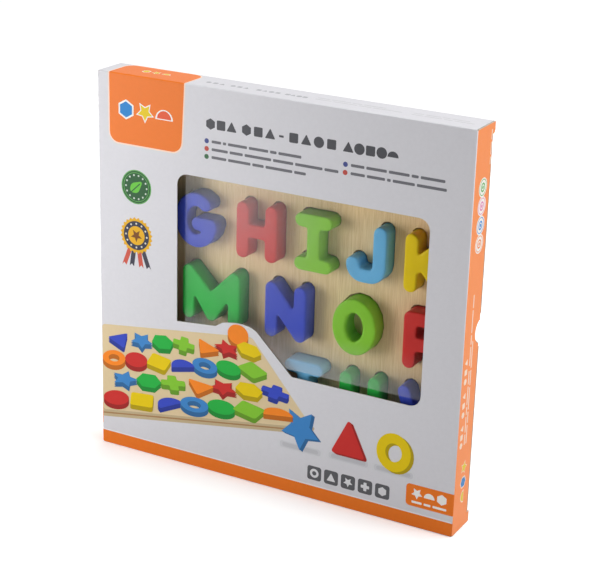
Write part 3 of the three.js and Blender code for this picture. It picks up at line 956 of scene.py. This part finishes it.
class PUZZLE_OT_headline(Operator):
    """Prints the headline and the small lines under it as plain blocks and bars"""

    bl_idname = "boxed_puzzle.headline"
    bl_label = "Headline"

    def execute(self, context):
        carton = context.scene.puzzle_carton
        front = PrintSheet(carton, make_inks({
            "headline": ink(78, 78, 83), "small line": ink(112, 112, 118), "marker blue": ink(70, 80, 140),
            "marker red": ink(190, 80, 70), "marker green": ink(60, 105, 70),
        }))
        for left, right in HEADLINE_WORDS:
            front.add(1, "headline", shape_row, left, right, *HEADLINE_BLOCKS)
        front.add(1, "headline", block, *HEADLINE_DASH, 0.3)
        markers = ("marker blue", "marker red", "marker green")
        for number, (left, right, base, words) in enumerate(SMALL_LINES):
            marker = markers[number % len(markers)]
            front.add(1, "small line", line_bars, left, right, base, SMALL_LINE_HEIGHT, words)
            front.add(1, marker, disc, left - MARKER_GAP, base + MARKER_RISE, MARKER_RADIUS, 24)
        front.finish("headline_print", ON_FRONT)

        top = PrintSheet(carton, make_inks({
            "top headline": ink(176, 176, 181), "top line": ink(205, 205, 208),
        }))
        for left, right in TOP_WORDS:
            top.add(1, "top headline", shape_row, left, right, *TOP_BLOCKS)
        for left, right, base in TOP_LINES:
            top.add(1, "top line", line_bars, left, right, base, TOP_LINE_HEIGHT, TOP_LINE_SHARES)
        top.finish("top_headline_print", ON_TOP)
        return {"FINISHED"}


# Middles of the two badges
LEAF_BADGE = (-120.7, 221.6)
ROSETTE = (-120.9, 182.7)


class PUZZLE_OT_badges(Operator):
    """Prints the round green badge and the award rosette"""

    bl_idname = "boxed_puzzle.badges"
    bl_label = "Badges"

    def execute(self, context):
        carton = context.scene.puzzle_carton
        self.leaf_badge(carton, *LEAF_BADGE)
        self.award_rosette(carton, *ROSETTE)
        return {"FINISHED"}

    @staticmethod
    def leaf_badge(carton, u, v):
        sheet = PrintSheet(carton, make_inks({
            "badge rim": ink(96, 170, 84), "badge dark": ink(32, 86, 44),
            "badge leaf": ink(104, 196, 62), "badge white": ink(214, 226, 214),
        }))
        sheet.add(1, "badge rim", disc, u, v, 13.5, 56)
        sheet.add(2, "badge dark", disc, u, v, 12.7, 56)
        sheet.add(3, "badge rim", ring, u, v, 11.6, 11.1, 56)
        leaf = ((u - 6, v - 4.5), (u + 1.5, v - 5), (u + 6, v + 5.5), (u - 5, v + 2.5))
        sheet.add(3, "badge leaf", outline, leaf, 3, 6)
        vein = ((u - 7.5, v - 6.6), (u - 6.9, v - 7.2), (u + 3.6, v + 2.8), (u + 3, v + 3.4))
        sheet.add(4, "badge dark", outline, vein)
        dot_ring(sheet, 3, "badge white", u, v, 9.4, 0.75, 14)
        sheet.finish("leaf_badge_print", ON_FRONT)

    @staticmethod
    def award_rosette(carton, u, v):
        sheet = PrintSheet(carton, make_inks({
            "rosette gold": ink(232, 176, 30), "rosette dark": ink(46, 50, 70),
            "rosette brown": ink(120, 70, 20), "ribbon dark": ink(60, 58, 72),
            "ribbon red": ink(205, 88, 70), "rosette pale": ink(222, 216, 205),
        }))
        half, head, notch, foot = 2, v - 9, v - 23.4, v - 25.5
        for i, lean in enumerate((-11.4, -4.4, 4.4, 11.4)):
            start, end = u + 0.45 * lean, u + lean
            top = ((start - half, head), (start + half, head))
            tail = (*top, (end + half, foot), (end, notch), (end - half, foot))
            sheet.add(1 + i % 2, "ribbon dark" if i % 2 else "ribbon red", outline, tail)
        sheet.add(3, "rosette gold", star, u, v, 14.7, 13.2, 24)
        sheet.add(4, "rosette dark", disc, u, v, 11.6, 48)
        sheet.add(5, "rosette gold", disc, u, v, 7.6, 40)
        sheet.add(6, "rosette brown", star, u, v, 5.4, 2.3, 5)
        dot_ring(sheet, 5, "rosette pale", u, v, 9.6, 0.8, 12)
        sheet.finish("award_rosette_print", ON_FRONT)


PAINT_NAMES = ("red", "light_green", "light_blue", "yellow", "orange", "green", "blue")


def place_block(sheet, shape, place, drop, paint, layer):
    """Prints a toy block: its darker side as copies of its outline, then its bright top."""
    for i in (3, 2, 1):
        shift = Matrix.Translation((drop[0] * i / 3, drop[1] * i / 3, 0))
        sheet.add(layer + 0.2 * (3 - i), f"picture {paint} side", put_shape, shape, shift @ place)
    sheet.add(layer + 1, f"picture {paint}", put_shape, shape, place)


class PUZZLE_OT_picture(Operator):
    """Prints the picture of a slanted board with plain toy blocks, and three large blocks beside it"""

    bl_idname = "boxed_puzzle.picture"
    bl_label = "Printed picture"

    def execute(self, context):
        carton = context.scene.puzzle_carton
        inks = self.picture_inks(carton, context.scene.puzzle_letters, context.scene.puzzle_wood)
        self.slanted_board(PrintSheet(carton, inks))
        self.large_blocks(PrintSheet(carton, inks))
        return {"FINISHED"}

    @staticmethod
    def picture_inks(carton, letters, wood):
        colours = {}
        for paint in PAINT_NAMES:
            rgb = carton.picture_blue if paint == "light_blue" else getattr(letters, paint)
            colours[f"picture {paint}"] = rgb
            colours[f"picture {paint} side"] = shade(rgb, 0.55)
        colours |= {
            "picture wood": shade(wood.pale, 0.84), "picture edge": shade(wood.pale, 0.62),
            "picture ply": wood.glue, "far shadow": ink(219, 219, 223), "shadow": ink(208, 208, 213),
            "near shadow": ink(196, 196, 201),
        }
        return make_inks(colours)

    @staticmethod
    def slanted_board(sheet):
        """A board between four corners, with rows of blocks that shrink into the distance."""
        low_left, low_right = Vector((-154, 29)), Vector((37, 59))
        top_left, top_right = Vector((-154, 103)), Vector((-17, 121))
        edge = ((-154, 23), (36, 53.5), (39, 59), (37, 61), (-154, 31))
        sheet.add(1, "picture edge", outline, edge, 0.8)
        sheet.add(2, "picture ply", outline, ((-154, 25.6), (37, 56), (37.6, 57.2), (-154, 26.8)))
        sheet.add(2, "picture wood", outline, (low_left, low_right, top_right, top_left), 2.5, 6)
        place_block(sheet, unit_disc, spot(-29, 120.5, 19, 17), (0, -3.6), "orange", 3)
        rows, columns, size = 4, 7, 21
        board_wide, board_tall = 152, 118
        for row in reversed(range(rows)):
            for column in range(columns):
                t = 0.15 + 0.7 * row / (rows - 1)
                s = 0.07 + 0.86 * (column + 0.4 * (row % 2)) / (columns - 0.6)
                along = (low_right - low_left).lerp(top_right - top_left, t) / board_wide
                up = (top_left - low_left).lerp(top_right - low_right, s) / board_tall
                middle = low_left.lerp(low_right, s).lerp(top_left.lerp(top_right, s), t)
                slant = Matrix((
                    (along.x, up.x, 0, middle.x), (along.y, up.y, 0, middle.y), (0, 0, 1, 0), (0, 0, 0, 1),
                ))
                turn = math.radians((37 * column + 61 * row) % 90 - 45)
                shape = PICTURE_SHAPES[(3 * row + 2 * column) % len(PICTURE_SHAPES)]
                paint = PAINT_NAMES[(2 * row + 3 * column) % len(PAINT_NAMES)]
                layer = 3 + 2 * (rows - row) + 0.1 * (column % 2)
                place_block(sheet, shape, slant @ spot(0, 0, size, size, turn), (0, -4), paint, layer)
        sheet.finish("board_picture_print", ON_FRONT)

    @staticmethod
    def large_blocks(sheet):
        """Three blocks in front of the board, each on a soft shadow in three steps."""
        blocks = (
            (unit_star, 26.5, 56, 31, 33, "light_blue"), (unit_triangle, 67.5, 57, 29, 33, "red"),
            (unit_ring, 105, 56, 28, 31, "yellow"),
        )
        for number, (shape, u, v, wide, tall, paint) in enumerate(blocks):
            for step, tone in enumerate(("far shadow", "shadow", "near shadow")):
                reach = 0.62 - 0.07 * step
                left, right = u - reach * wide, u + (reach + 0.04) * wide
                low, high = v - (0.6 - 0.03 * step) * tall, v - (0.38 + 0.03 * step) * tall
                layer = 1 + 0.3 * step + 0.1 * number
                sheet.add(layer, tone, block, left, right, low, high, 2.4 - 0.5 * step)
            place_block(sheet, shape, spot(u, v, wide, tall), (2.6, -1.2), paint, 3)
        sheet.finish("large_blocks_print", ON_FRONT)


ICON_LEFT = 34
ICON_LOW = 16.3
ICON_TOP = 27.9
ICON_WIDE = 11.9
ICON_PITCH = 14.35
ICON_SIGN = 7.4
CORNER_TAB_LEFT = 116.7
CORNER_TAB_RADIUS = 3
# The corner tab's row of signs: height, size and the place of each, and the line under them
TAB_ROW = 28
TAB_SIGN = 8.6
TAB_SIGNS = ((unit_star, 125.5), (unit_half, 135.5), (unit_hexagon, 145.5))
TAB_LINE = (121.5, 149.5, 19.8, 1.8, (3, 2, 4))


class PUZZLE_OT_foot_print(Operator):
    """Prints the grey icons, the orange corner tab and the orange foot band"""

    bl_idname = "boxed_puzzle.foot_print"
    bl_label = "Icons, tab and foot band"

    def execute(self, context):
        carton = context.scene.puzzle_carton
        icons = PrintSheet(carton, make_inks({
            "icon grey": ink(92, 92, 96), "icon white": ink(226, 226, 229),
        }))
        for number, sign in enumerate((unit_ring, unit_triangle, unit_star, unit_cross, unit_hexagon)):
            left = ICON_LEFT + ICON_PITCH * number
            icons.add(1, "icon grey", block, left, left + ICON_WIDE, ICON_LOW, ICON_TOP, 2)
            place = spot(left + ICON_WIDE / 2, (ICON_LOW + ICON_TOP) / 2, ICON_SIGN, ICON_SIGN)
            icons.add(2, "icon white", put_shape, sign, place)
        icons.finish("icon_print", ON_FRONT)

        band = PrintSheet(carton, make_inks({
            "foot orange": carton.orange, "foot white": ink(250, 248, 244), "foot line": ink(238, 238, 240),
        }))
        fold = band.fold_radius
        edge = SIDE_X / MM - fold
        left, low, top = CORNER_TAB_LEFT, CORNER_TAB_LOW, CORNER_TAB_TOP
        tab = ((left, low), (edge, low), (edge, top), (left, top))
        left_corners = (0, 3)
        band.add(1, "foot orange", outline, tab, CORNER_TAB_RADIUS, 5, left_corners)
        for sign, u in TAB_SIGNS:
            band.add(2, "foot white", put_shape, sign, spot(u, TAB_ROW, TAB_SIGN, TAB_SIGN))
        band.add(2, "foot white", line_bars, *TAB_LINE)
        band.add(1, "foot line", block, -edge, edge, BAND_TOP + 0.05, BAND_TOP + 1.1)
        band.add(1, "foot orange", block, -edge, edge, 0.3, BAND_TOP)
        band.cut_for_fold(fold, -1)
        band.wrap_over_fold(fold, -1)
        band.finish("foot_band_print", ON_FRONT)
        return {"FINISHED"}


# Upright lines on the right end, each with its start, end, place across and words' shares
END_LINES = (
    (70, 128, -13.2, (4, 6, 3, 7, 5)), (132, 186, -13.2, (6, 3, 7, 4)),
    (70, 150, -16.4, (5, 3, 6, 4, 7)), (278, 303, -26, (3, 5, 4)),
)
END_LINE_HEIGHT = 1.5
# Upright words on the right end: the ends of each, then their blocks' place across, height and pitch
END_WORDS = ((68, 88), (92, 114), (118, 140))
END_BLOCKS = (-9, 5.2, 6.8)
# The end's motif: its middle, its place across, and its blocks' size and pitch
END_MOTIF = (39, -15, 10.6, 12)
# Round badges on the right end: their distance from the front, then each one's height and ink
END_BADGE_ACROSS = 15
END_BADGES = ((264, "end green"), (250.5, "end pink"), (236.5, "end sky"), (223, "end warm"))


class PUZZLE_OT_end_print(Operator):
    """Prints the badges, lines and motif on the right end panel"""

    bl_idname = "boxed_puzzle.end_print"
    bl_label = "Right end print"

    def execute(self, context):
        carton = context.scene.puzzle_carton
        lines = PrintSheet(carton, make_inks({
            "end line": ink(255, 226, 204), "end yellow": ink(232, 205, 30), "end blue": ink(30, 130, 200),
        }))
        for start, end in END_WORDS:
            lines.add(1, "end line", shape_row, start, end, *END_BLOCKS)
        for start, end, across, words in END_LINES:
            lines.add(1, "end line", line_bars, start, end, across, END_LINE_HEIGHT, words)
        motif = ((unit_half, "end yellow"), (unit_hexagon, "end blue"), (unit_star, "end yellow"))
        outlined_blocks(lines, 1, "end line", motif, *END_MOTIF)
        lines.finish("right_end_lines_print", ON_RIGHT @ UPRIGHT, "right_closure", "closure_print")

        badges = PrintSheet(carton, make_inks({
            "end badge white": ink(252, 246, 240), "end green": ink(90, 180, 90),
            "end pink": ink(232, 130, 190), "end sky": ink(40, 140, 215), "end warm": ink(245, 140, 70),
        }))
        u = END_BADGE_ACROSS
        for number, (v, ink_name) in enumerate(END_BADGES):
            badges.add(1 + 0.3 * (number % 2), "end badge white", disc, u, v, 7)
            badges.add(2, ink_name, ring, u, v, 6, 5.4)
            badges.add(2, ink_name, ring, u, v, 3.4, 2.2, 24)
            badges.add(2, ink_name, disc, u, v, 1.3, 16)
        badges.finish("right_end_badges_print", ON_RIGHT, "right_closure", "closure_print")
        return {"FINISHED"}


# Puzzle

STEM = ((0, 0, 0, 1),)
FAR_STEM = ((1, 0, 1, 1),)
MIDDLE_STEM = ((0.5, 0, 0.5, 1),)
TOP_BAR = ((0, 1, 1, 1),)
FOOT_BAR = ((0, 0, 1, 0),)


def arc_runs(u, v, ru, rv, start, end):
    """An arc as short straight runs, in shares of the letter's centreline box."""
    steps = max(2, math.ceil(abs(end - start) / 9))
    turns = [math.radians(start + (end - start) * i / steps) for i in range(steps + 1)]
    points = [(u + ru * math.cos(t), v + rv * math.sin(t)) for t in turns]
    return tuple((*points[i], *points[i + 1]) for i in range(steps))


def bowl_runs(top, bottom, straight):
    middle, rise = (top + bottom) / 2, (top - bottom) / 2
    turn = arc_runs(straight, middle, 1 - straight, rise, 90, -90)
    return ((0, top, straight, top), *turn, (straight, bottom, 0, bottom))


def dip_runs(low):
    return ((0, 1, 0.5, low), (0.5, low, 1, 1))


LOOP = arc_runs(0.5, 0.5, 0.5, 0.5, 0, 360)
J_TURN = arc_runs(0.64, 0.24, 0.36, 0.24, 0, -90)
J_HOOK = arc_runs(0.36, 0.24, 0.36, 0.24, -90, -180)

# Each letter's strokes as straight runs, in shares of its centreline box
LETTER_RUNS = {
    "a": ((0, 0, 0.5, 1), (0.5, 1, 1, 0), (0.2, 0.22, 0.8, 0.22)),
    "b": STEM + bowl_runs(1, 0.52, 0.5) + bowl_runs(0.52, 0, 0.45),
    "c": arc_runs(0.5, 0.5, 0.5, 0.5, 48, 312),
    "d": STEM + bowl_runs(1, 0, 0.3),
    "e": STEM + TOP_BAR + FOOT_BAR + ((0, 0.5, 0.85, 0.5),),
    "f": STEM + TOP_BAR + ((0, 0.5, 0.8, 0.5),),
    "g": arc_runs(0.5, 0.5, 0.5, 0.5, 54, 350) + ((0.55, 0.42, 0.98, 0.42),),
    "h": STEM + FAR_STEM + ((0, 0.5, 1, 0.5),),
    "i": TOP_BAR + FOOT_BAR + MIDDLE_STEM,
    "j": ((1, 1, 1, 0.24), (0.64, 0, 0.36, 0)) + J_TURN + J_HOOK,
    "k": STEM + ((0, 0.35, 1, 1), (0.35, 0.58, 1, 0)),
    "l": STEM + FOOT_BAR,
    "m": STEM + FAR_STEM + dip_runs(0.39) + dip_runs(0.04),
    "n": STEM + FAR_STEM + ((0, 1, 1, 0.14), (0, 0.86, 1, 0)),
    "o": LOOP,
    "p": STEM + bowl_runs(1, 0.42, 0.4),
    "q": LOOP + ((0.62, 0.26, 1, 0),),
    "r": STEM + bowl_runs(1, 0.44, 0.4) + ((0.4, 0.44, 1, 0),),
    "s": arc_runs(0.5, 0.75, 0.5, 0.25, 20, 270) + arc_runs(0.5, 0.25, 0.5, 0.25, 90, -160),
    "t": TOP_BAR + MIDDLE_STEM,
    "u": ((0, 1, 0, 0.38),) + arc_runs(0.5, 0.38, 0.5, 0.38, 180, 360) + ((1, 0.38, 1, 1),),
    "v": ((0, 1, 0.5, 0), (0.5, 0, 1, 1)),
    "w": ((0, 1, 0.25, 0), (0.25, 0, 0.5, 0.8), (0.5, 0.8, 0.75, 0), (0.75, 0, 1, 1)),
    "x": ((0, 0, 1, 1), (0, 1, 1, 0)),
    "y": ((0, 1, 0.5, 0.45), (0.5, 0.45, 1, 1), (0.5, 0, 0.5, 0.45)),
    "z": TOP_BAR + FOOT_BAR + ((0, 0, 1, 1),),
}
LETTER_PAINTS = {
    "red": "ahpw", "light_green": "biox", "light_blue": "cjqt", "yellow": "dkry",
    "orange": "elsz", "green": "fmu", "blue": "gnv",
}


class PUZZLE_OT_painted_letters(Operator):
    """Builds every letter from round-ended bars that are fused and sanded smooth"""

    bl_idname = "boxed_puzzle.painted_letters"
    bl_label = "Painted letters"

    def execute(self, context):
        letters = context.scene.puzzle_letters
        for paint, group in LETTER_PAINTS.items():
            material = letter_paint(f"{paint} letter paint", getattr(letters, paint))
            for key in group:
                self.build_letter(key, letters, material, f"paint_{paint}")
        return {"FINISHED"}

    def build_letter(self, key, letters, material, slot):
        node = f"letter_{key}"
        low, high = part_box(node)
        half = letters.stroke / 2
        corner = Vector((low.x + half, 0, low.z + half))
        wide, tall = high.x - low.x - 2 * half, high.z - low.z - 2 * half
        bars = bmesh.new()
        for u0, v0, u1, v1 in LETTER_RUNS[key]:
            ends = [corner + Vector((u * wide, 0, v * tall)) for u, v in ((u0, v0), (u1, v1))]
            self.add_bar(bars, ends, half, low.y, high.y)
        bm = self.fuse(bars, letters.voxel)
        for _ in range(letters.smoothing):
            bmesh.ops.smooth_vert(
                bm, verts=bm.verts, factor=0.5, use_axis_x=True, use_axis_y=True, use_axis_z=True
            )
        make_piece(f"painted_{node}", bm, (material,), node, (node,), smooth=lambda face: True)

    @staticmethod
    def add_bar(bars, ends, radius, front, back):
        """A flat bar with two round ends, as the hull of two upright discs."""
        made = []
        lie = Matrix.Rotation(math.pi / 2, 4, "X")
        for end in ends:
            place = Matrix.Translation((end.x, (front + back) / 2, end.z)) @ lie
            drum = bmesh.ops.create_cone(
                bars, cap_ends=True, segments=36, radius1=radius, radius2=radius, depth=back - front,
                matrix=place,
            )
            made += drum["verts"]
        hull = bmesh.ops.convex_hull(bars, input=made)
        bmesh.ops.delete(bars, geom=verts_of(hull["geom_interior"]), context="VERTS")

    @staticmethod
    def fuse(bars, voxel):
        """Joins overlapping bars into one skin."""
        mesh = bpy.data.meshes.new("letter bars")
        bars.to_mesh(mesh)
        bars.free()
        carrier = add_object("letter bars", mesh)
        remesh = carrier.modifiers.new("fuse", "REMESH")
        remesh.mode = "VOXEL"
        remesh.voxel_size = voxel
        graph = bpy.context.evaluated_depsgraph_get()
        bm = bmesh.new()
        bm.from_mesh(carrier.evaluated_get(graph).to_mesh())
        bpy.data.objects.remove(carrier)
        bpy.data.meshes.remove(mesh)
        return bm


class PUZZLE_OT_board(Operator):
    """Gives the two plywood sheets of the board their finish"""

    bl_idname = "boxed_puzzle.board"
    bl_label = "Plywood board"

    def execute(self, context):
        wood = context.scene.puzzle_wood
        dress_node("inset_plate", plywood("birch plywood", wood))
        dress_node("base_plate", plywood("birch plywood back", wood, 0.9))
        return {"FINISHED"}


# Stage, with its places in metres

FLOOR_REACH = 14
KEY_DIRECTION = Vector((-0.08, -0.12, -1))
KEY_SPREAD = math.radians(28)
NEAREST_VIEW = 0.05
# Width of the camera's sensor, in millimetres
SENSOR_WIDTH = 36


def aim(item, direction, roll=0.0):
    """Turns a lamp or a camera to look along a direction."""
    item.rotation_mode = "QUATERNION"
    item.rotation_quaternion = direction.to_track_quat("-Z", "Y") @ Quaternion((0, 0, 1), roll)


class PUZZLE_OT_stage(Operator):
    """Sets up the white floor, the soft lights and the camera"""

    bl_idname = "boxed_puzzle.stage"
    bl_label = "Stage"

    def execute(self, context):
        stage = context.scene.puzzle_stage
        self.floor()
        self.sky(context.scene, stage.sky)
        self.lamps(stage)
        self.camera(context.scene, stage)
        context.scene.view_settings.view_transform = "Standard"
        return {"FINISHED"}

    @staticmethod
    def floor():
        bm = bmesh.new()
        bmesh.ops.create_grid(bm, x_segments=8, y_segments=8, size=FLOOR_REACH)
        mesh = bpy.data.meshes.new("studio_floor")
        bm.to_mesh(mesh)
        bm.free()
        mesh.materials.append(studio_floor("studio floor"))
        floor = add_object("studio_floor", mesh)

    @staticmethod
    def sky(scene, strength):
        """Even light from all round, which camera and mirror rays see as white."""
        world = bpy.data.worlds.new("studio sky")
        world.use_nodes = True
        scene.world = world
        tree = world.node_tree
        background = tree.nodes["Background"]
        background.inputs["Color"].default_value = (1, 1, 1, 1)
        tree.links.new(map_range(tree, white_rays(tree), 0, 1, strength, 1), background.inputs["Strength"])

    @staticmethod
    def lamps(stage):
        key = bpy.data.lights.new("overhead light", "SUN")
        key.energy = stage.key
        key.angle = KEY_SPREAD
        aim(add_object("overhead light", key), KEY_DIRECTION)
        target = Vector((0, 0, CARTON_TOP / 2))
        soft = (
            ("right light", stage.side, (1.3, -0.08, 0.7), 0.9),
            ("left light", stage.fill, (-0.52, -0.5, 0.22), 0.4),
            ("back light", stage.back, (-0.3, 1.1, 0.1), 0.4),
        )
        for name, power, place, size in soft:
            area = bpy.data.lights.new(name, "AREA")
            area.energy = power
            area.size = size
            lamp = add_object(name, area)
            lamp.location = place
            aim(lamp, target - Vector(place))

    @staticmethod
    def camera(scene, stage):
        data = bpy.data.cameras.new("photo camera")
        data.sensor_width = SENSOR_WIDTH
        data.lens = stage.lens
        data.clip_start = NEAREST_VIEW
        camera = add_object("photo camera", data)
        camera.location = stage.camera_place
        flat = math.cos(stage.elevation)
        ahead = (-math.sin(stage.azimuth) * flat, math.cos(stage.azimuth) * flat, -math.sin(stage.elevation))
        aim(camera, Vector(ahead), stage.roll)
        scene.camera = camera


class PUZZLE_PT_panel(Panel):
    """Lists the puzzle's pieces"""

    bl_idname = "PUZZLE_PT_panel"
    bl_label = "Boxed puzzle"
    bl_space_type = "VIEW_3D"
    bl_region_type = "UI"
    bl_category = "Puzzle"

    def draw(self, context):
        for operator in OPERATORS:
            self.layout.operator(operator.bl_idname)


SETTINGS = {
    "puzzle_carton": CartonSettings, "puzzle_letters": LetterSettings,
    "puzzle_wood": WoodSettings, "puzzle_stage": StageSettings,
}
OPERATORS = (
    PUZZLE_OT_stage, PUZZLE_OT_carton_sleeve, PUZZLE_OT_closures, PUZZLE_OT_end_folds,
    PUZZLE_OT_carton_inside, PUZZLE_OT_corner_label, PUZZLE_OT_headline, PUZZLE_OT_badges, PUZZLE_OT_picture,
    PUZZLE_OT_foot_print, PUZZLE_OT_end_print, PUZZLE_OT_board, PUZZLE_OT_painted_letters,
)


def register():
    for name, group in SETTINGS.items():
        bpy.utils.register_class(group)
        setattr(bpy.types.Scene, name, PointerProperty(type=group))
    for operator in OPERATORS:
        bpy.utils.register_class(operator)
    bpy.utils.register_class(PUZZLE_PT_panel)


def unregister():
    bpy.utils.unregister_class(PUZZLE_PT_panel)
    for operator in reversed(OPERATORS):
        bpy.utils.unregister_class(operator)
    for name, group in SETTINGS.items():
        delattr(bpy.types.Scene, name)
        bpy.utils.unregister_class(group)


def main():
    register()
    bpy.ops.boxed_puzzle.stage()
    bpy.ops.boxed_puzzle.carton_sleeve()
    bpy.ops.boxed_puzzle.closures()
    bpy.ops.boxed_puzzle.end_folds()
    bpy.ops.boxed_puzzle.carton_inside()
    bpy.ops.boxed_puzzle.corner_label()
    bpy.ops.boxed_puzzle.headline()
    bpy.ops.boxed_puzzle.badges()
    bpy.ops.boxed_puzzle.picture()
    bpy.ops.boxed_puzzle.foot_print()
    bpy.ops.boxed_puzzle.end_print()
    bpy.ops.boxed_puzzle.board()
    bpy.ops.boxed_puzzle.painted_letters()


if __name__ == "__main__":
    main()
